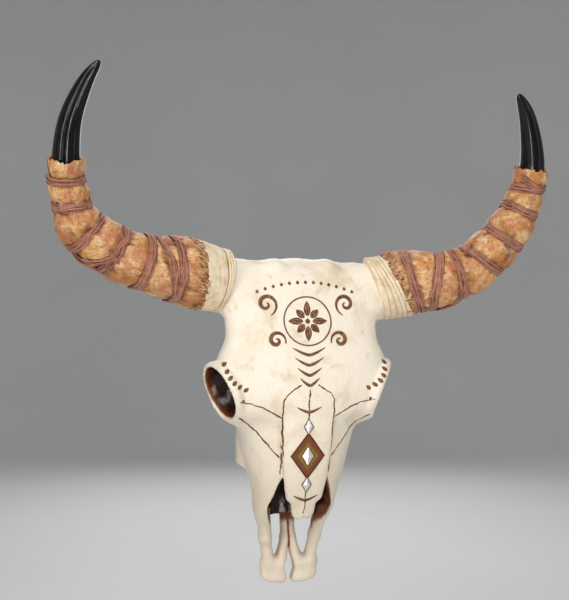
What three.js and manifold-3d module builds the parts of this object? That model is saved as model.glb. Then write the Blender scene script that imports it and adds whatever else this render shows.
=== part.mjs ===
// A cast wall plaque: a bull skull with wrapped horns. Sizes are in millimetres.
// +Z is up, the face looks along -Y, the wall is the plane Y = 0 and the skull is symmetric in X.
import * as THREE from "three";
import { mergeVertices } from "three/addons/utils/BufferGeometryUtils.js";
import Module from "manifold-3d";

const wasm = await Module();
wasm.setup();

const GAP = 0.3; // clearance between pieces that touch
const FACET_TOLERANCE = 1.1; // how far the skull's facets may lie from its curved surface
const WALL_Y = 0; // the sawn-flat back of the skull

// Skull outline: stations from the poll down to the muzzle, as [height, size].
const POLL_TOP = 37;
const FRONTAL_BOTTOM = -112;
const FRONTAL_HALF_WIDTH = [[40, 66], [0, 76], [-36, 75], [-58, 83], [-86, 77], [-118, 58]];
const FRONTAL_FRONT_Y = [[40, -84], [20, -99], [-10, -110], [-50, -118], [-85, -120], [-118, -113]];
const FRONTAL_BACK_Y = -62;
const FACE_TOP = -78;
const FACE_BOTTOM = -226;
const FACE_HALF_WIDTH = [[-78, 60], [-115, 60], [-145, 54], [-165, 49], [-185, 43], [-212, 38], [-226, 35]];
const FACE_FRONT_Y = [
  [-78, -116],
  [-113, -112],
  [-150, -106],
  [-180, -102],
  [-196, -97],
  [-212, -83],
  [-226, -64],
];
const FACE_BACK_Y = [[-78, -14], [-150, -14], [-190, -22], [-212, -29], [-226, -33]];
const FACIAL_TUBER = { halfWidth: 54.5, front: -60, back: -16, top: -118, bottom: -165.5 };
const NASAL_TOP = -100;
const NASAL_TIP = -212.5;
const NASAL_HALF_WIDTH = [
  [-100, 25],
  [-130, 25],
  [-165, 22],
  [-187, 18.3],
  [-195.5, 12.9],
  [-206, 11],
  [-213, 6],
];
const NASAL_FRONT_Y = [[-100, -117], [-130, -115], [-170, -109], [-200, -100], [-221, -93]];
const NASAL_THICKNESS = 11;
const NASAL_NOTCH = { height: -214.5, radius: 4.2, front: -112, back: -78 };
const AIRWAY_HALF_WIDTH = [
  [-140, 8],
  [-166, 19.5],
  [-176, 24.5],
  [-186, 27.5],
  [-205, 31.5],
  [-232, 23],
  [-250, 19],
  [-264, 14],
];
const AIRWAY_TOP = -140;
const AIRWAY_BOTTOM = -264;
const AIRWAY_FRONT_Y = -160;
const AIRWAY_FLOOR_Y = -36; // the hard palate, down to the two slots that go right through it
const FISSURE_TOP = -219;
const FISSURE_BACK_Y = 60;
const MUZZLE_BOTTOM = -289;
const MUZZLE_PLATE = { middle: 15.2, halfWidth: 14.6, front: -44, back: -30, top: -265, peak: 8, curl: 0.01 };
const MUZZLE_GAP = [[-292, 0.6], [-286, 1.3], [-281, 3.2], [-275, 5], [-268, 4.2], [-260, 0.4]];
const TOOTH_ROW = { topX: 38, bottomX: 31, halfWidth: 8.5, front: -40, back: 14, top: -112, bottom: -180 };
const CROWN = { bulge: 1.3, pitch: 13 };

// Rounded bodies and hollows of the skull, on the +X side.
const POLL_BUMP = { centre: [26, -82, 28.5], radii: [12, 16, 12] };
const BRAINCASE = { centre: [0, -44, -22], radii: [50, 52, 60] };
const OCCIPUT = { centre: [0, -40, 10], radii: [64, 62, 29] };
const SKULL_BASE = { centre: [0, -38, -80], radii: [32, 30, 60] };
const ORBIT_WALL = { centre: [62, -80, -86], radii: [22, 30, 35] };
const PALATE_HOLLOW = { centre: [0, 8, -160], radii: [24, 26, 62] }; // between the teeth
const SPINAL_OPENING = { centre: [0, -20, 42], radii: [12, 16, 12] };
const TEMPLE_HOLLOW = { from: [80, -33, -62], to: [76, -30, -14], radii: [13, 12] };
const CHEEK_ARCH = [
  { from: [74, -58, -103], to: [74, -34, -86], radii: [6.5, 6] },
  { from: [74, -34, -86], to: [54, -22, -44], radii: [6, 8] },
];
const MUZZLE_SIDE = [
  { from: [34, -60, -176], to: [31, -54, -205], radii: [8, 7.2], flat: 2.2 },
  { from: [31, -54, -205], to: [26, -43, -240], radii: [7.2, 6], flat: 1.7 },
  { from: [26, -43, -240], to: [21.2, -38, -266], radii: [6, 6.4], flat: 1.2 },
];
const PALATE_BAR = [
  { from: [3.4, -27, -204], to: [3.6, -34, -244], radii: [4.2, 4.3], flat: 1.3 },
  { from: [3.6, -34, -244], to: [9, -37, -268], radii: [4.3, 6.5], flat: 1.2 },
];

// Eye socket, on the +X side.
const ORBIT_CENTRE = [77.5, -89, -87];
const ORBIT_FACING = [0.89, -0.269, -0.371];
const ORBIT_RADIUS = 27;
const ORBIT_RIM = 4;
const ORBIT_INSET = 1;
const ORBIT_DEPTH = 23;
const ORBIT_CLEARANCE = { middle: 34, depth: 31, radius: 46 };
const ORBIT_CUP = { near: 3, deep: 27, radii: [27.8, 15] };

// Horns: centre lines from the skull to the tips. The two are modelled by hand and differ a little.
// A ring round a horn leans inward at its top by degrees given at shares of the horn's length.
const HORNS = {
  left: {
    side: -1,
    lean: [[0, -3], [0.06, -13], [0.36, 0]],
    rootRadius: 29.5,
    line: [
      [-76.5, -77, 18.5],
      [-102.5, -83, 24.5],
      [-140, -94, 31.5],
      [-174.5, -103, 41],
      [-211, -113, 67],
      [-222.5, -123, 103],
      [-224, -130, 122],
      [-220.5, -139, 156],
      [-207.5, -152, 188],
      [-196.5, -160, 204],
    ],
    wraps: [
      [0.14, 0.14],
      [0.24, 0.14],
      [0.29, 0.32],
      [0.46, 0.48],
      [0.64, 0.62],
      [0.77, 0.79],
      [0.9, 0.92],
    ],
  },
  right: {
    side: 1,
    lean: [[0, 8], [0.06, 17], [0.36, 0]],
    rootRadius: 31.5,
    line: [
      [80, -76, 11],
      [101, -80, 15],
      [140, -94, 21.5],
      [169.5, -101, 30.5],
      [205.5, -114, 67],
      [222, -124, 109],
      [225, -129, 129],
      [222, -135, 147.5],
      [210, -147, 179],
      [195.5, -158, 196],
    ],
    wraps: [
      [0.1, 0.08],
      [0.26, 0.13],
      [0.33, 0.3],
      [0.43, 0.49],
      [0.61, 0.63],
      [0.79, 0.78],
      [0.89, 0.92],
    ],
  },
};
// Where a horn's bone core leaves the skull; it lies a step lower than the binding.
const HORN_SOCKET = { x: 46, y: -74, drop: 4, radius: 22, step: 3 };
const BINDING_POINT = 1; // the centre-line point where the binding ends and the sleeve starts
const TIP_POINT = 6; // the centre-line point where the bare tip leaves the sleeve
const BINDING_RIDGES = 5;
const BINDING_RELIEF = 1.8;
const SLEEVE_RADIUS = [
  [0, 33],
  [0.1, 32.5],
  [0.25, 26.5],
  [0.45, 23.5],
  [0.6, 22],
  [0.75, 18.7],
  [0.9, 16],
  [1, 15.3],
];
const TIP_RADIUS = 12.7;
const STRAP_WIDTH = 7;
const STRAP_THICKNESS = 2.2;
const STRAP_CLEARANCE = 2.3; // over the round sleeve, so that straight lengths of strap clear it too

// Silver lozenges let into the nasal bones, by their height on the face.
const LOZENGES = [
  { name: "inlay_upper", height: -120, width: 8, length: 13 },
  { name: "inlay_middle", height: -148, width: 11, length: 18 },
  { name: "inlay_lower", height: -176, width: 8, length: 13 },
];
const INLAY_THICKNESS = 2.2;
const INLAY_DEPTH = 1.3;

// Sawtooth hanger in a recess at the back, with its two nails.
const RECESS = { width: 66, height: 16, depth: 3.6, middle: 16 };
const HANGER = { width: 56, height: 9, thickness: 1.4, teeth: 9, toothDepth: 2, nailAt: 24 };
const NAIL = { shank: 0.9, length: 8, head: 2.1, headThickness: 1 };

const clamp = THREE.MathUtils.clamp;
const lerp = THREE.MathUtils.lerp;

// ---- Field functions: negative inside, roughly the distance to the surface ----

function union(a, b, blend) {
  const near = Math.max(blend - Math.abs(a - b), 0) / blend;
  return Math.min(a, b) - (near * near * blend) / 4;
}

function cut(a, tool, blend) {
  return -union(-a, tool, blend);
}

function within(a, b, blend) {
  return -union(-a, -b, blend);
}

// The value at z, on a smooth curve through [z, value] stations that rise or fall.
function station(stations, z) {
  const last = stations.length - 1;
  const way = Math.sign(stations[last][0] - stations[0][0]);
  let i = 0;
  while (i < last - 1 && (z - stations[i + 1][0]) * way > 0) i += 1;
  const [z0, v0] = stations[i];
  const [z1, v1] = stations[i + 1];
  const slope = (a, b) => (stations[b][1] - stations[a][1]) / (stations[b][0] - stations[a][0]);
  const slope0 = slope(Math.max(i - 1, 0), i + 1) * (z1 - z0);
  const slope1 = slope(i, Math.min(i + 2, last)) * (z1 - z0);
  const t = clamp((z - z0) / (z1 - z0), 0, 1);
  const s = 1 - t;
  return v0 * (1 + 2 * t) * s * s + slope0 * t * s * s + v1 * t * t * (3 - 2 * t) - slope1 * t * t * s;
}

// A body whose level section is a rounded rectangle; squareness 2 is an ellipse.
function section(x, y, halfWidth, front, back, squareness) {
  const halfDepth = (back - front) / 2;
  const u = Math.abs(x) / halfWidth;
  const v = Math.abs(y - (front + back) / 2) / halfDepth;
  const q = (u ** squareness + v ** squareness) ** (1 / squareness);
  const slope = Math.hypot(u ** (squareness - 1) / halfWidth, v ** (squareness - 1) / halfDepth);
  return ((q - 1) * q ** (squareness - 1)) / Math.max(slope, 1e-6);
}

function ellipsoid(x, y, z, { centre, radii }) {
  const p = [x - centre[0], y - centre[1], z - centre[2]];
  const k0 = Math.hypot(p[0] / radii[0], p[1] / radii[1], p[2] / radii[2]);
  const k1 = Math.hypot(p[0] / radii[0] ** 2, p[1] / radii[1] ** 2, p[2] / radii[2] ** 2);
  return (k0 * (k0 - 1)) / Math.max(k1, 1e-6);
}

// A rod with a radius at each end; flat > 1 makes it deeper along Y than across.
function rod(x, y, z, { from, to, radii, flat = 1 }) {
  const d = [to[0] - from[0], (to[1] - from[1]) / flat, to[2] - from[2]];
  const p = [x - from[0], (y - from[1]) / flat, z - from[2]];
  const t = clamp((p[0] * d[0] + p[1] * d[1] + p[2] * d[2]) / (d[0] ** 2 + d[1] ** 2 + d[2] ** 2), 0, 1);
  return Math.hypot(p[0] - d[0] * t, p[1] - d[1] * t, p[2] - d[2] * t) - lerp(radii[0], radii[1], t);
}

function rodChain(x, y, z, rods, blend) {
  return rods.map((one) => rod(x, y, z, one)).reduce((a, b) => union(a, b, blend));
}

// ---- Skull ----

function cranium(x, y, z) {
  const width = station(FRONTAL_HALF_WIDTH, z);
  const front = station(FRONTAL_FRONT_Y, z);
  let f = section(x, y, width, front, FRONTAL_BACK_Y, 2.6);
  f = within(f, z - POLL_TOP, 14);
  f = within(f, FRONTAL_BOTTOM - z, 10);
  f = union(f, ellipsoid(x, y, z, POLL_BUMP), 6);
  f = union(f, ellipsoid(x, y, z, BRAINCASE), 14);
  f = union(f, ellipsoid(x, y, z, OCCIPUT), 14);
  return union(f, ellipsoid(x, y, z, SKULL_BASE), 14);
}

// The sockets that carry the horns, added to the skull.
function withHornRoots(f, x, y, z) {
  const { drop, radius, step } = HORN_SOCKET;
  let joined = f;
  for (const { side, line, rootRadius } of Object.values(HORNS)) {
    const to = [line[0][0], line[0][1], line[0][2] - step];
    const from = [side * HORN_SOCKET.x, HORN_SOCKET.y, to[2] - drop];
    joined = union(joined, rod(x, y, z, { from, to, radii: [radius, rootRadius - step] }), 12);
  }
  return joined;
}

// Distances from the middle of the eye socket: out along its axis, and across it.
function orbitFrame(x, y, z) {
  const facing = ORBIT_FACING;
  const p = [x - ORBIT_CENTRE[0], y - ORBIT_CENTRE[1], z - ORBIT_CENTRE[2]];
  const out = p[0] * facing[0] + p[1] * facing[1] + p[2] * facing[2];
  const across = Math.sqrt(Math.max(p[0] ** 2 + p[1] ** 2 + p[2] ** 2 - out ** 2, 0));
  return [out, across];
}

// The bone behind the eye socket.
function orbitCup(x, y, z) {
  const behind = (distance) => ORBIT_CENTRE.map((c, axis) => c - distance * ORBIT_FACING[axis]);
  return rod(x, y, z, { from: behind(ORBIT_CUP.near), to: behind(ORBIT_CUP.deep), radii: ORBIT_CUP.radii });
}

// Clear air outside the rim, so that the brow doesn't overhang the socket.
function orbitClearance(x, y, z) {
  const { middle, depth, radius } = ORBIT_CLEARANCE;
  const [out, across] = orbitFrame(x, y, z);
  return (Math.hypot((out - middle) / depth, across / radius) - 1) * depth;
}

function face(x, y, z) {
  const front = station(FACE_FRONT_Y, z);
  let f = section(x, y, station(FACE_HALF_WIDTH, z), front, station(FACE_BACK_Y, z), 2.4);
  f = within(f, z - FACE_TOP, 16);
  f = within(f, FACE_BOTTOM - z, 10);
  let tuber = section(x, y, FACIAL_TUBER.halfWidth, FACIAL_TUBER.front, FACIAL_TUBER.back, 3);
  tuber = within(tuber, FACIAL_TUBER.bottom - z, 4);
  tuber = within(tuber, z - FACIAL_TUBER.top, 30);
  return union(f, tuber, 8);
}

// One cheek-tooth row: crowns side by side, worn flat where they meet the wall.
function toothRow(x, y, z) {
  const { topX, bottomX, halfWidth, front, back, top, bottom } = TOOTH_ROW;
  const middle = lerp(topX, bottomX, clamp((z - top) / (bottom - top), 0, 1));
  const bulge = CROWN.bulge * Math.cos(((z - top) / CROWN.pitch - 0.5) * 2 * Math.PI);
  let f = section(x - middle, y, halfWidth + bulge, front, back, 3);
  f = within(f, z - top, 4);
  return within(f, bottom - z, 4);
}

function muzzle(x, y, z) {
  const { middle, halfWidth, front, back, top, peak, curl } = MUZZLE_PLATE;
  let plate = section(x - middle, y, halfWidth, front, back, 2.6);
  plate = within(plate, z - top, 6);
  plate = within(plate, MUZZLE_BOTTOM + curl * (x - peak) ** 2 - z, 7);
  return union(rodChain(x, y, z, MUZZLE_SIDE, 6), plate, 7);
}

function airway(x, y, z) {
  const floor = z < FISSURE_TOP ? FISSURE_BACK_Y : AIRWAY_FLOOR_Y;
  let f = section(x, y, station(AIRWAY_HALF_WIDTH, z), AIRWAY_FRONT_Y, floor, 4);
  f = within(f, z - AIRWAY_TOP, 8);
  return within(f, AIRWAY_BOTTOM - z, 3);
}

function nasalBones(x, y, z) {
  const front = station(NASAL_FRONT_Y, z);
  let f = section(x, y, station(NASAL_HALF_WIDTH, z), front, front + NASAL_THICKNESS, 2.8);
  f = within(f, z - NASAL_TOP, 20);
  return within(f, NASAL_TIP - z, 2.5);
}

function skullField(signedX, y, z) {
  const x = Math.abs(signedX);
  let f = union(cranium(x, y, z), ellipsoid(x, y, z, ORBIT_WALL), 10);
  f = union(f, face(x, y, z), 12);
  f = union(f, toothRow(x, y, z), 5);
  f = cut(f, orbitClearance(x, y, z), 5);
  f = cut(f, rod(x, y, z, TEMPLE_HOLLOW), 7);
  f = union(f, orbitCup(x, y, z), 6);
  f = union(f, rodChain(x, y, z, CHEEK_ARCH, 6), 7);
  f = cut(f, airway(x, y, z), 2);
  f = union(f, muzzle(x, y, z), 5);
  f = cut(f, ellipsoid(x, y, z, PALATE_HOLLOW), 6);
  f = cut(f, ellipsoid(x, y, z, SPINAL_OPENING), 4);
  f = union(f, nasalBones(x, y, z), 3);
  f = union(f, rodChain(x, y, z, PALATE_BAR, 4), 5);
  return within(withHornRoots(f, signedX, y, z), y - WALL_Y - 6, 2);
}

// ---- Surface of a field on a grid: one vertex in each crossed cell, one quad on each crossed edge ----

function gridLine(from, to, sizeAt) {
  const line = [from];
  while (line[line.length - 1] < to) line.push(line[line.length - 1] + sizeAt(line[line.length - 1]));
  return line;
}

// The corners of each square and cube of the grid that meet only across a diagonal when no other is filled.
const SQUARES = [[1, 2], [1, 4], [2, 4]].map(([a, b]) => [0, a, a + b, b]);
const CUBE = [0, 1, 2, 3, 4, 5, 6, 7];

// Fills the weaker corner wherever two filled corners, or two empty ones, meet only across a diagonal.
function joinDiagonals(value, size, at) {
  let changed = true;
  const fillWeakest = (corners) => {
    const open = corners.filter((c) => value[c] >= 0).sort((c, d) => value[c] - value[d]);
    value[open[0]] = -1e-3;
    changed = true;
  };
  const repair = (i, j, k) => {
    const corner = CUBE.map((c) => at(i + (c & 1), j + ((c >> 1) & 1), k + (c >> 2)));
    for (const square of SQUARES) {
      const [p, q, r, s] = square.map((c) => value[corner[c]] < 0);
      if (p === r && q === s && p !== q) fillWeakest(square.map((c) => corner[c]));
    }
    for (let c = 0; c < 4; c += 1) {
      const pair = value[corner[c]] < 0;
      const alone = CUBE.every((d) => value[corner[d]] < 0 === pair === (d === c || d === 7 - c));
      if (alone) fillWeakest(corner);
    }
  };
  while (changed) {
    changed = false;
    for (let k = 0; k < size[2] - 1; k += 1)
      for (let j = 0; j < size[1] - 1; j += 1) for (let i = 0; i < size[0] - 1; i += 1) repair(i, j, k);
  }
}

// The mean of the points where the surface crosses the edges of one cell of the grid.
function crossing(corner, low, high) {
  const sum = [0, 0, 0];
  let count = 0;
  for (const c of CUBE)
    for (const bit of [1, 2, 4]) {
      const d = c | bit;
      if (d === c || corner[c] < 0 === corner[d] < 0) continue;
      const t = corner[c] / (corner[c] - corner[d]);
      for (let axis = 0; axis < 3; axis += 1) {
        const start = (c >> axis) & 1;
        const end = (d >> axis) & 1;
        sum[axis] += lerp(low[axis], high[axis], lerp(start, end, t));
      }
      count += 1;
    }
  return sum.map((v) => v / count);
}

// Moves a point onto the surface of the field, inside its own cell.
function projected(field, p, low, high) {
  const step = 0.4;
  for (let round = 0; round < 2; round += 1) {
    const f = field(...p);
    const g = [0, 1, 2].map((axis) => {
      const q = [...p];
      q[axis] += step;
      const ahead = field(...q);
      q[axis] -= 2 * step;
      return (ahead - field(...q)) / (2 * step);
    });
    const squared = Math.max(g[0] ** 2 + g[1] ** 2 + g[2] ** 2, 0.05);
    for (let axis = 0; axis < 3; axis += 1) {
      const margin = 0.04 * (high[axis] - low[axis]);
      p[axis] = clamp(p[axis] - (f * g[axis]) / squared, low[axis] + margin, high[axis] - margin);
    }
  }
  return p;
}

function surfaceOf(field, lines) {
  const size = lines.map((line) => line.length);
  const at = (i, j, k) => i + size[0] * (j + size[1] * k);
  const value = new Float64Array(size[0] * size[1] * size[2]);
  for (let k = 0; k < size[2]; k += 1)
    for (let j = 0; j < size[1]; j += 1)
      for (let i = 0; i < size[0]; i += 1) value[at(i, j, k)] = field(lines[0][i], lines[1][j], lines[2][k]);
  joinDiagonals(value, size, at);

  const positions = [];
  const known = new Map();
  function vertexOf([i, j, k]) {
    const key = at(i, j, k);
    if (known.has(key)) return known.get(key);
    const low = [lines[0][i], lines[1][j], lines[2][k]];
    const high = [lines[0][i + 1], lines[1][j + 1], lines[2][k + 1]];
    const corner = CUBE.map((c) => value[at(i + (c & 1), j + ((c >> 1) & 1), k + (c >> 2))]);
    positions.push(...projected(field, crossing(corner, low, high), low, high));
    known.set(key, positions.length / 3 - 1);
    return positions.length / 3 - 1;
  }

  const triangles = [];
  const point = (v) => positions.slice(3 * v, 3 * v + 3);
  const middle = (v, w) => Math.abs(field(...point(v).map((c, axis) => (c + point(w)[axis]) / 2)));
  for (let k = 1; k < size[2] - 1; k += 1)
    for (let j = 1; j < size[1] - 1; j += 1)
      for (let i = 1; i < size[0] - 1; i += 1)
        for (let axis = 0; axis < 3; axis += 1) {
          const here = [i, j, k];
          const next = [i, j, k];
          next[axis] += 1;
          const inside = value[at(...here)] < 0;
          if (inside === value[at(...next)] < 0) continue;
          const a = (axis + 1) % 3;
          const b = (axis + 2) % 3;
          const around = [[0, 0], [-1, 0], [-1, -1], [0, -1]].map(([da, db]) => {
            const cell = [...here];
            cell[a] += da;
            cell[b] += db;
            return vertexOf(cell);
          });
          const q = inside ? around : around.reverse();
          if (middle(q[0], q[2]) < middle(q[1], q[3])) triangles.push(q[0], q[1], q[2], q[0], q[2], q[3]);
          else triangles.push(q[1], q[2], q[3], q[1], q[3], q[0]);
        }
  return geometryFrom(positions, triangles);
}

function geometryFrom(positions, triangles) {
  const geometry = new THREE.BufferGeometry();
  geometry.setAttribute("position", new THREE.Float32BufferAttribute(positions, 3));
  geometry.setIndex(triangles);
  return geometry;
}

// ---- Solids that are joined and cut ----

function solidOf(geometry) {
  const bare = geometry.clone();
  bare.deleteAttribute("normal");
  bare.deleteAttribute("uv");
  const merged = mergeVertices(bare, 1e-4);
  return new wasm.Manifold(
    new wasm.Mesh({
      numProp: 3,
      vertProperties: new Float32Array(merged.attributes.position.array),
      triVerts: new Uint32Array(merged.index.array),
    }),
  );
}

function geometryOf(solid) {
  const mesh = solid.getMesh();
  return geometryFrom(Array.from(mesh.vertProperties), Array.from(mesh.triVerts));
}

// A closed skin over rings of the same number of points, with a flat or pointed cap at each end.
function skinOver(rings, flip) {
  const sides = rings[0].length;
  const positions = rings.flat(2);
  const triangles = [];
  const add = (a, b, c) => (flip ? triangles.push(a, c, b) : triangles.push(a, b, c));
  for (let r = 0; r < rings.length - 1; r += 1)
    for (let i = 0; i < sides; i += 1) {
      const a = r * sides + i;
      const b = r * sides + ((i + 1) % sides);
      add(a, b, b + sides);
      add(a, b + sides, a + sides);
    }
  const last = (rings.length - 1) * sides;
  for (let i = 1; i < sides - 1; i += 1) {
    add(0, i + 1, i);
    add(last, last + i, last + i + 1);
  }
  return geometryFrom(positions, triangles);
}

// ---- Horns ----

// The horn's centre line as a curve, with the share of its length at which each numbered point lies.
function hornCurve(horn) {
  const curve = new THREE.CatmullRomCurve3(horn.line.map((p) => new THREE.Vector3(...p)));
  curve.arcLengthDivisions = 400;
  const lengths = curve.getLengths();
  const shareOf = (point) => lengths[Math.round((point / (horn.line.length - 1)) * 400)] / lengths[400];
  return { curve, binding: shareOf(BINDING_POINT), tip: shareOf(TIP_POINT), length: lengths[400] };
}

// Directions at a share of the horn's length: along it, to its front and to the inside of its bend.
function hornFrame(horn, curve, share) {
  const centre = curve.getPointAt(clamp(share, 0, 1));
  const along = curve.getTangentAt(clamp(share, 0, 1));
  const front = new THREE.Vector3(0, -1, 0);
  front.addScaledVector(along, -front.dot(along)).normalize();
  const inner = new THREE.Vector3().crossVectors(front, along).multiplyScalar(horn.side);
  const turn = THREE.MathUtils.degToRad(station(horn.lean, share));
  const leaned = inner.clone().multiplyScalar(Math.cos(turn)).addScaledVector(along, -Math.sin(turn));
  along.multiplyScalar(Math.cos(turn)).addScaledVector(inner, Math.sin(turn));
  return { centre, along, front, inner: leaned };
}

function hornPoint(frame, radius, angle, shift = 0) {
  const p = frame.centre.clone();
  p.addScaledVector(frame.inner, radius * Math.cos(angle));
  p.addScaledVector(frame.front, radius * Math.sin(angle));
  return p.addScaledVector(frame.along, shift).toArray();
}

function ringAt(frame, radius, sides, shift = 0) {
  return Array.from({ length: sides }, (_, i) => hornPoint(frame, radius, (i / sides) * 2 * Math.PI, shift));
}

function sleeveRadius(t) {
  return station(SLEEVE_RADIUS, t);
}

// Rounds of twine between the skull and the sleeve.
function bindingGeometry(horn) {
  const { curve, binding } = hornCurve(horn);
  const rings = [];
  const steps = 2 * BINDING_RIDGES;
  for (let i = 0; i <= steps; i += 1) {
    const t = i / steps;
    const radius = lerp(horn.rootRadius, sleeveRadius(0), t) + (i % 2 ? BINDING_RELIEF : 0);
    const shift = i === 0 ? GAP / 2 : i === steps ? -GAP / 2 : 0;
    rings.push(ringAt(hornFrame(horn, curve, t * binding), radius, 16, shift));
  }
  return skinOver(rings, horn.side < 0);
}

function sleeveGeometry(horn) {
  const { curve, binding, tip } = hornCurve(horn);
  const steps = 17;
  const rings = [];
  for (let i = 0; i <= steps; i += 1) {
    const t = i / steps;
    const shift = i === 0 ? GAP / 2 : i === steps ? -GAP / 2 : 0;
    rings.push(ringAt(hornFrame(horn, curve, lerp(binding, tip, t)), sleeveRadius(t), 14, shift));
  }
  return skinOver(rings, horn.side < 0);
}

function tipGeometry(horn) {
  const { curve, tip } = hornCurve(horn);
  const steps = 9;
  const rings = [];
  for (let i = 0; i <= steps; i += 1) {
    const t = (i / steps) ** 0.8;
    const radius = TIP_RADIUS * Math.max(1 - t, 0.002) ** 0.4;
    rings.push(ringAt(hornFrame(horn, curve, lerp(tip, 1, t)), radius, 12, i === 0 ? GAP / 2 : 0));
  }
  return skinOver(rings, horn.side < 0);
}

// One strap wound round the sleeve; each wrap crosses the front from its first share to its second.
function strapGeometry(horn) {
  const { curve, binding, tip, length } = hornCurve(horn);
  const steps = 13; // to a turn
  const rings = [];
  const turns = horn.wraps.length - 0.5;
  const shareAt = (turn) => {
    const half = Math.min(Math.floor(turn * 2), 2 * horn.wraps.length - 2);
    const bends = horn.wraps.flat();
    return lerp(bends[half], bends[half + 1], (1 - Math.cos((turn * 2 - half) * Math.PI)) / 2);
  };
  for (let i = 0; i <= turns * steps; i += 1) {
    const turn = i / steps;
    const angle = turn * 2 * Math.PI;
    const t = shareAt(turn);
    const radius = sleeveRadius(t) + STRAP_CLEARANCE;
    const frame = hornFrame(horn, curve, lerp(binding, tip, t));
    const corner = (lift, across) => hornPoint(frame, radius + lift, angle, across);
    const half = STRAP_WIDTH / 2;
    const top = 0.7 * half;
    const under = [corner(0, -half), corner(0, half)];
    rings.push([...under, corner(STRAP_THICKNESS, top), corner(STRAP_THICKNESS, -top)]);
  }
  return skinOver(rings, horn.side < 0);
}

// The cone of space beyond a horn root, taken off the skull so that the binding has its seat.
function seatBeyond(horn) {
  const { curve } = hornCurve(horn);
  const frame = hornFrame(horn, curve, 0);
  const rings = [
    ringAt(frame, horn.rootRadius + 2.5, 16, -GAP / 2),
    ringAt(frame, horn.rootRadius + 34, 16, 50),
  ];
  return skinOver(rings, horn.side < 0);
}

// Turns a geometry drawn round the Z axis to an eye socket, at a distance out from its middle.
function atOrbit(geometry, side, out) {
  const facing = new THREE.Vector3(side * ORBIT_FACING[0], ORBIT_FACING[1], ORBIT_FACING[2]).normalize();
  geometry.applyQuaternion(new THREE.Quaternion().setFromUnitVectors(new THREE.Vector3(0, 0, 1), facing));
  const centre = new THREE.Vector3(side * ORBIT_CENTRE[0], ORBIT_CENTRE[1], ORBIT_CENTRE[2]);
  return geometry.translate(...centre.addScaledVector(facing, out));
}

function orbitRim(side) {
  return atOrbit(new THREE.TorusGeometry(ORBIT_RADIUS, ORBIT_RIM, 6, 22), side, 0);
}

function orbitSocket(side) {
  const mouth = ORBIT_RADIUS - ORBIT_INSET;
  const rise = 8;
  const bowl = new THREE.SphereGeometry(1, 22, 12).rotateX(Math.PI / 2);
  return atOrbit(bowl.scale(mouth, mouth, ORBIT_DEPTH + rise), side, rise);
}

// The gap on the midline between the two plates of the muzzle.
function muzzleGap() {
  const rightSide = MUZZLE_GAP.map(([z, halfWidth]) => [halfWidth, z]);
  const slot = new THREE.ExtrudeGeometry(outline([...rightSide, ...mirror(rightSide)]), {
    depth: MUZZLE_PLATE.back - MUZZLE_PLATE.front + 30,
    bevelEnabled: false,
  });
  return slot.rotateX(Math.PI / 2).translate(0, MUZZLE_PLATE.back + 15, 0);
}

// The notch between the tips of the two nasal bones.
function nasalNotch() {
  const { height, radius, front, back } = NASAL_NOTCH;
  const bar = new THREE.CylinderGeometry(radius, radius, back - front, 12);
  return bar.translate(0, (front + back) / 2, height);
}

// ---- Silver inlay ----

function outline(points) {
  return new THREE.Shape(points.map(([x, y]) => new THREE.Vector2(x, y)));
}

// The points of one side of an outline, mirrored and in the opposite order.
function mirror(points) {
  return points.map(([x, y]) => [-x, y]).reverse();
}

function lozengeOutline(lozenge, grow) {
  const w = lozenge.width / 2 + grow;
  const h = lozenge.length / 2 + grow;
  return outline([[0, -h], [w, 0], [0, h], [-w, 0]]);
}

function frontAt(z) {
  let outside = -140;
  let inside = -90;
  for (let i = 0; i < 30; i += 1) {
    const y = (outside + inside) / 2;
    if (skullField(0, y, z) < 0) inside = y;
    else outside = y;
  }
  return inside;
}

// Lays a flat geometry, drawn in XY and facing +Z, on the front of the nose at a height.
function onNose(geometry, height, sunk) {
  const slope = (frontAt(height + 4) - frontAt(height - 4)) / 8;
  geometry.translate(0, 0, -sunk).rotateX(Math.PI / 2 - Math.atan(slope));
  return geometry.translate(0, frontAt(height), height);
}

function inlay(lozenge, grow = 0) {
  const depth = INLAY_THICKNESS + grow;
  const body = new THREE.ExtrudeGeometry(lozengeOutline(lozenge, grow), { depth, bevelEnabled: false });
  return onNose(body, lozenge.height, INLAY_DEPTH + grow);
}

// ---- Hanger ----

function hangerGeometry() {
  const { width, height, thickness, teeth, toothDepth, nailAt } = HANGER;
  const toothed = 0.6 * width;
  const points = [[-width / 2, height / 2], [-width / 2, -height / 2]];
  for (let i = 0; i < teeth; i += 1) {
    const left = -toothed / 2 + (i * toothed) / teeth;
    points.push([left, -height / 2], [left + toothed / teeth / 2, -height / 2 + toothDepth]);
  }
  points.push([toothed / 2, -height / 2], [width / 2, -height / 2], [width / 2, height / 2]);
  const shape = outline(points);
  for (const x of [-nailAt, nailAt])
    shape.holes.push(new THREE.Path().absarc(x, 0, NAIL.shank + GAP, 0, 2 * Math.PI, true));
  const plate = new THREE.ExtrudeGeometry(shape, { depth: thickness, bevelEnabled: false, curveSegments: 5 });
  return plate.rotateX(-Math.PI / 2).rotateX(Math.PI);
}

function nailGeometry() {
  const { shank, length, head, headThickness } = NAIL;
  const top = [[head, 0], [0.8 * head, headThickness], [0, 1.3 * headThickness]];
  const profile = [[0, -length], [shank, -length], [shank, 0], ...top];
  return new THREE.LatheGeometry(profile.map(([r, y]) => new THREE.Vector2(r, y)), 10);
}

// ---- The part ----

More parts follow.
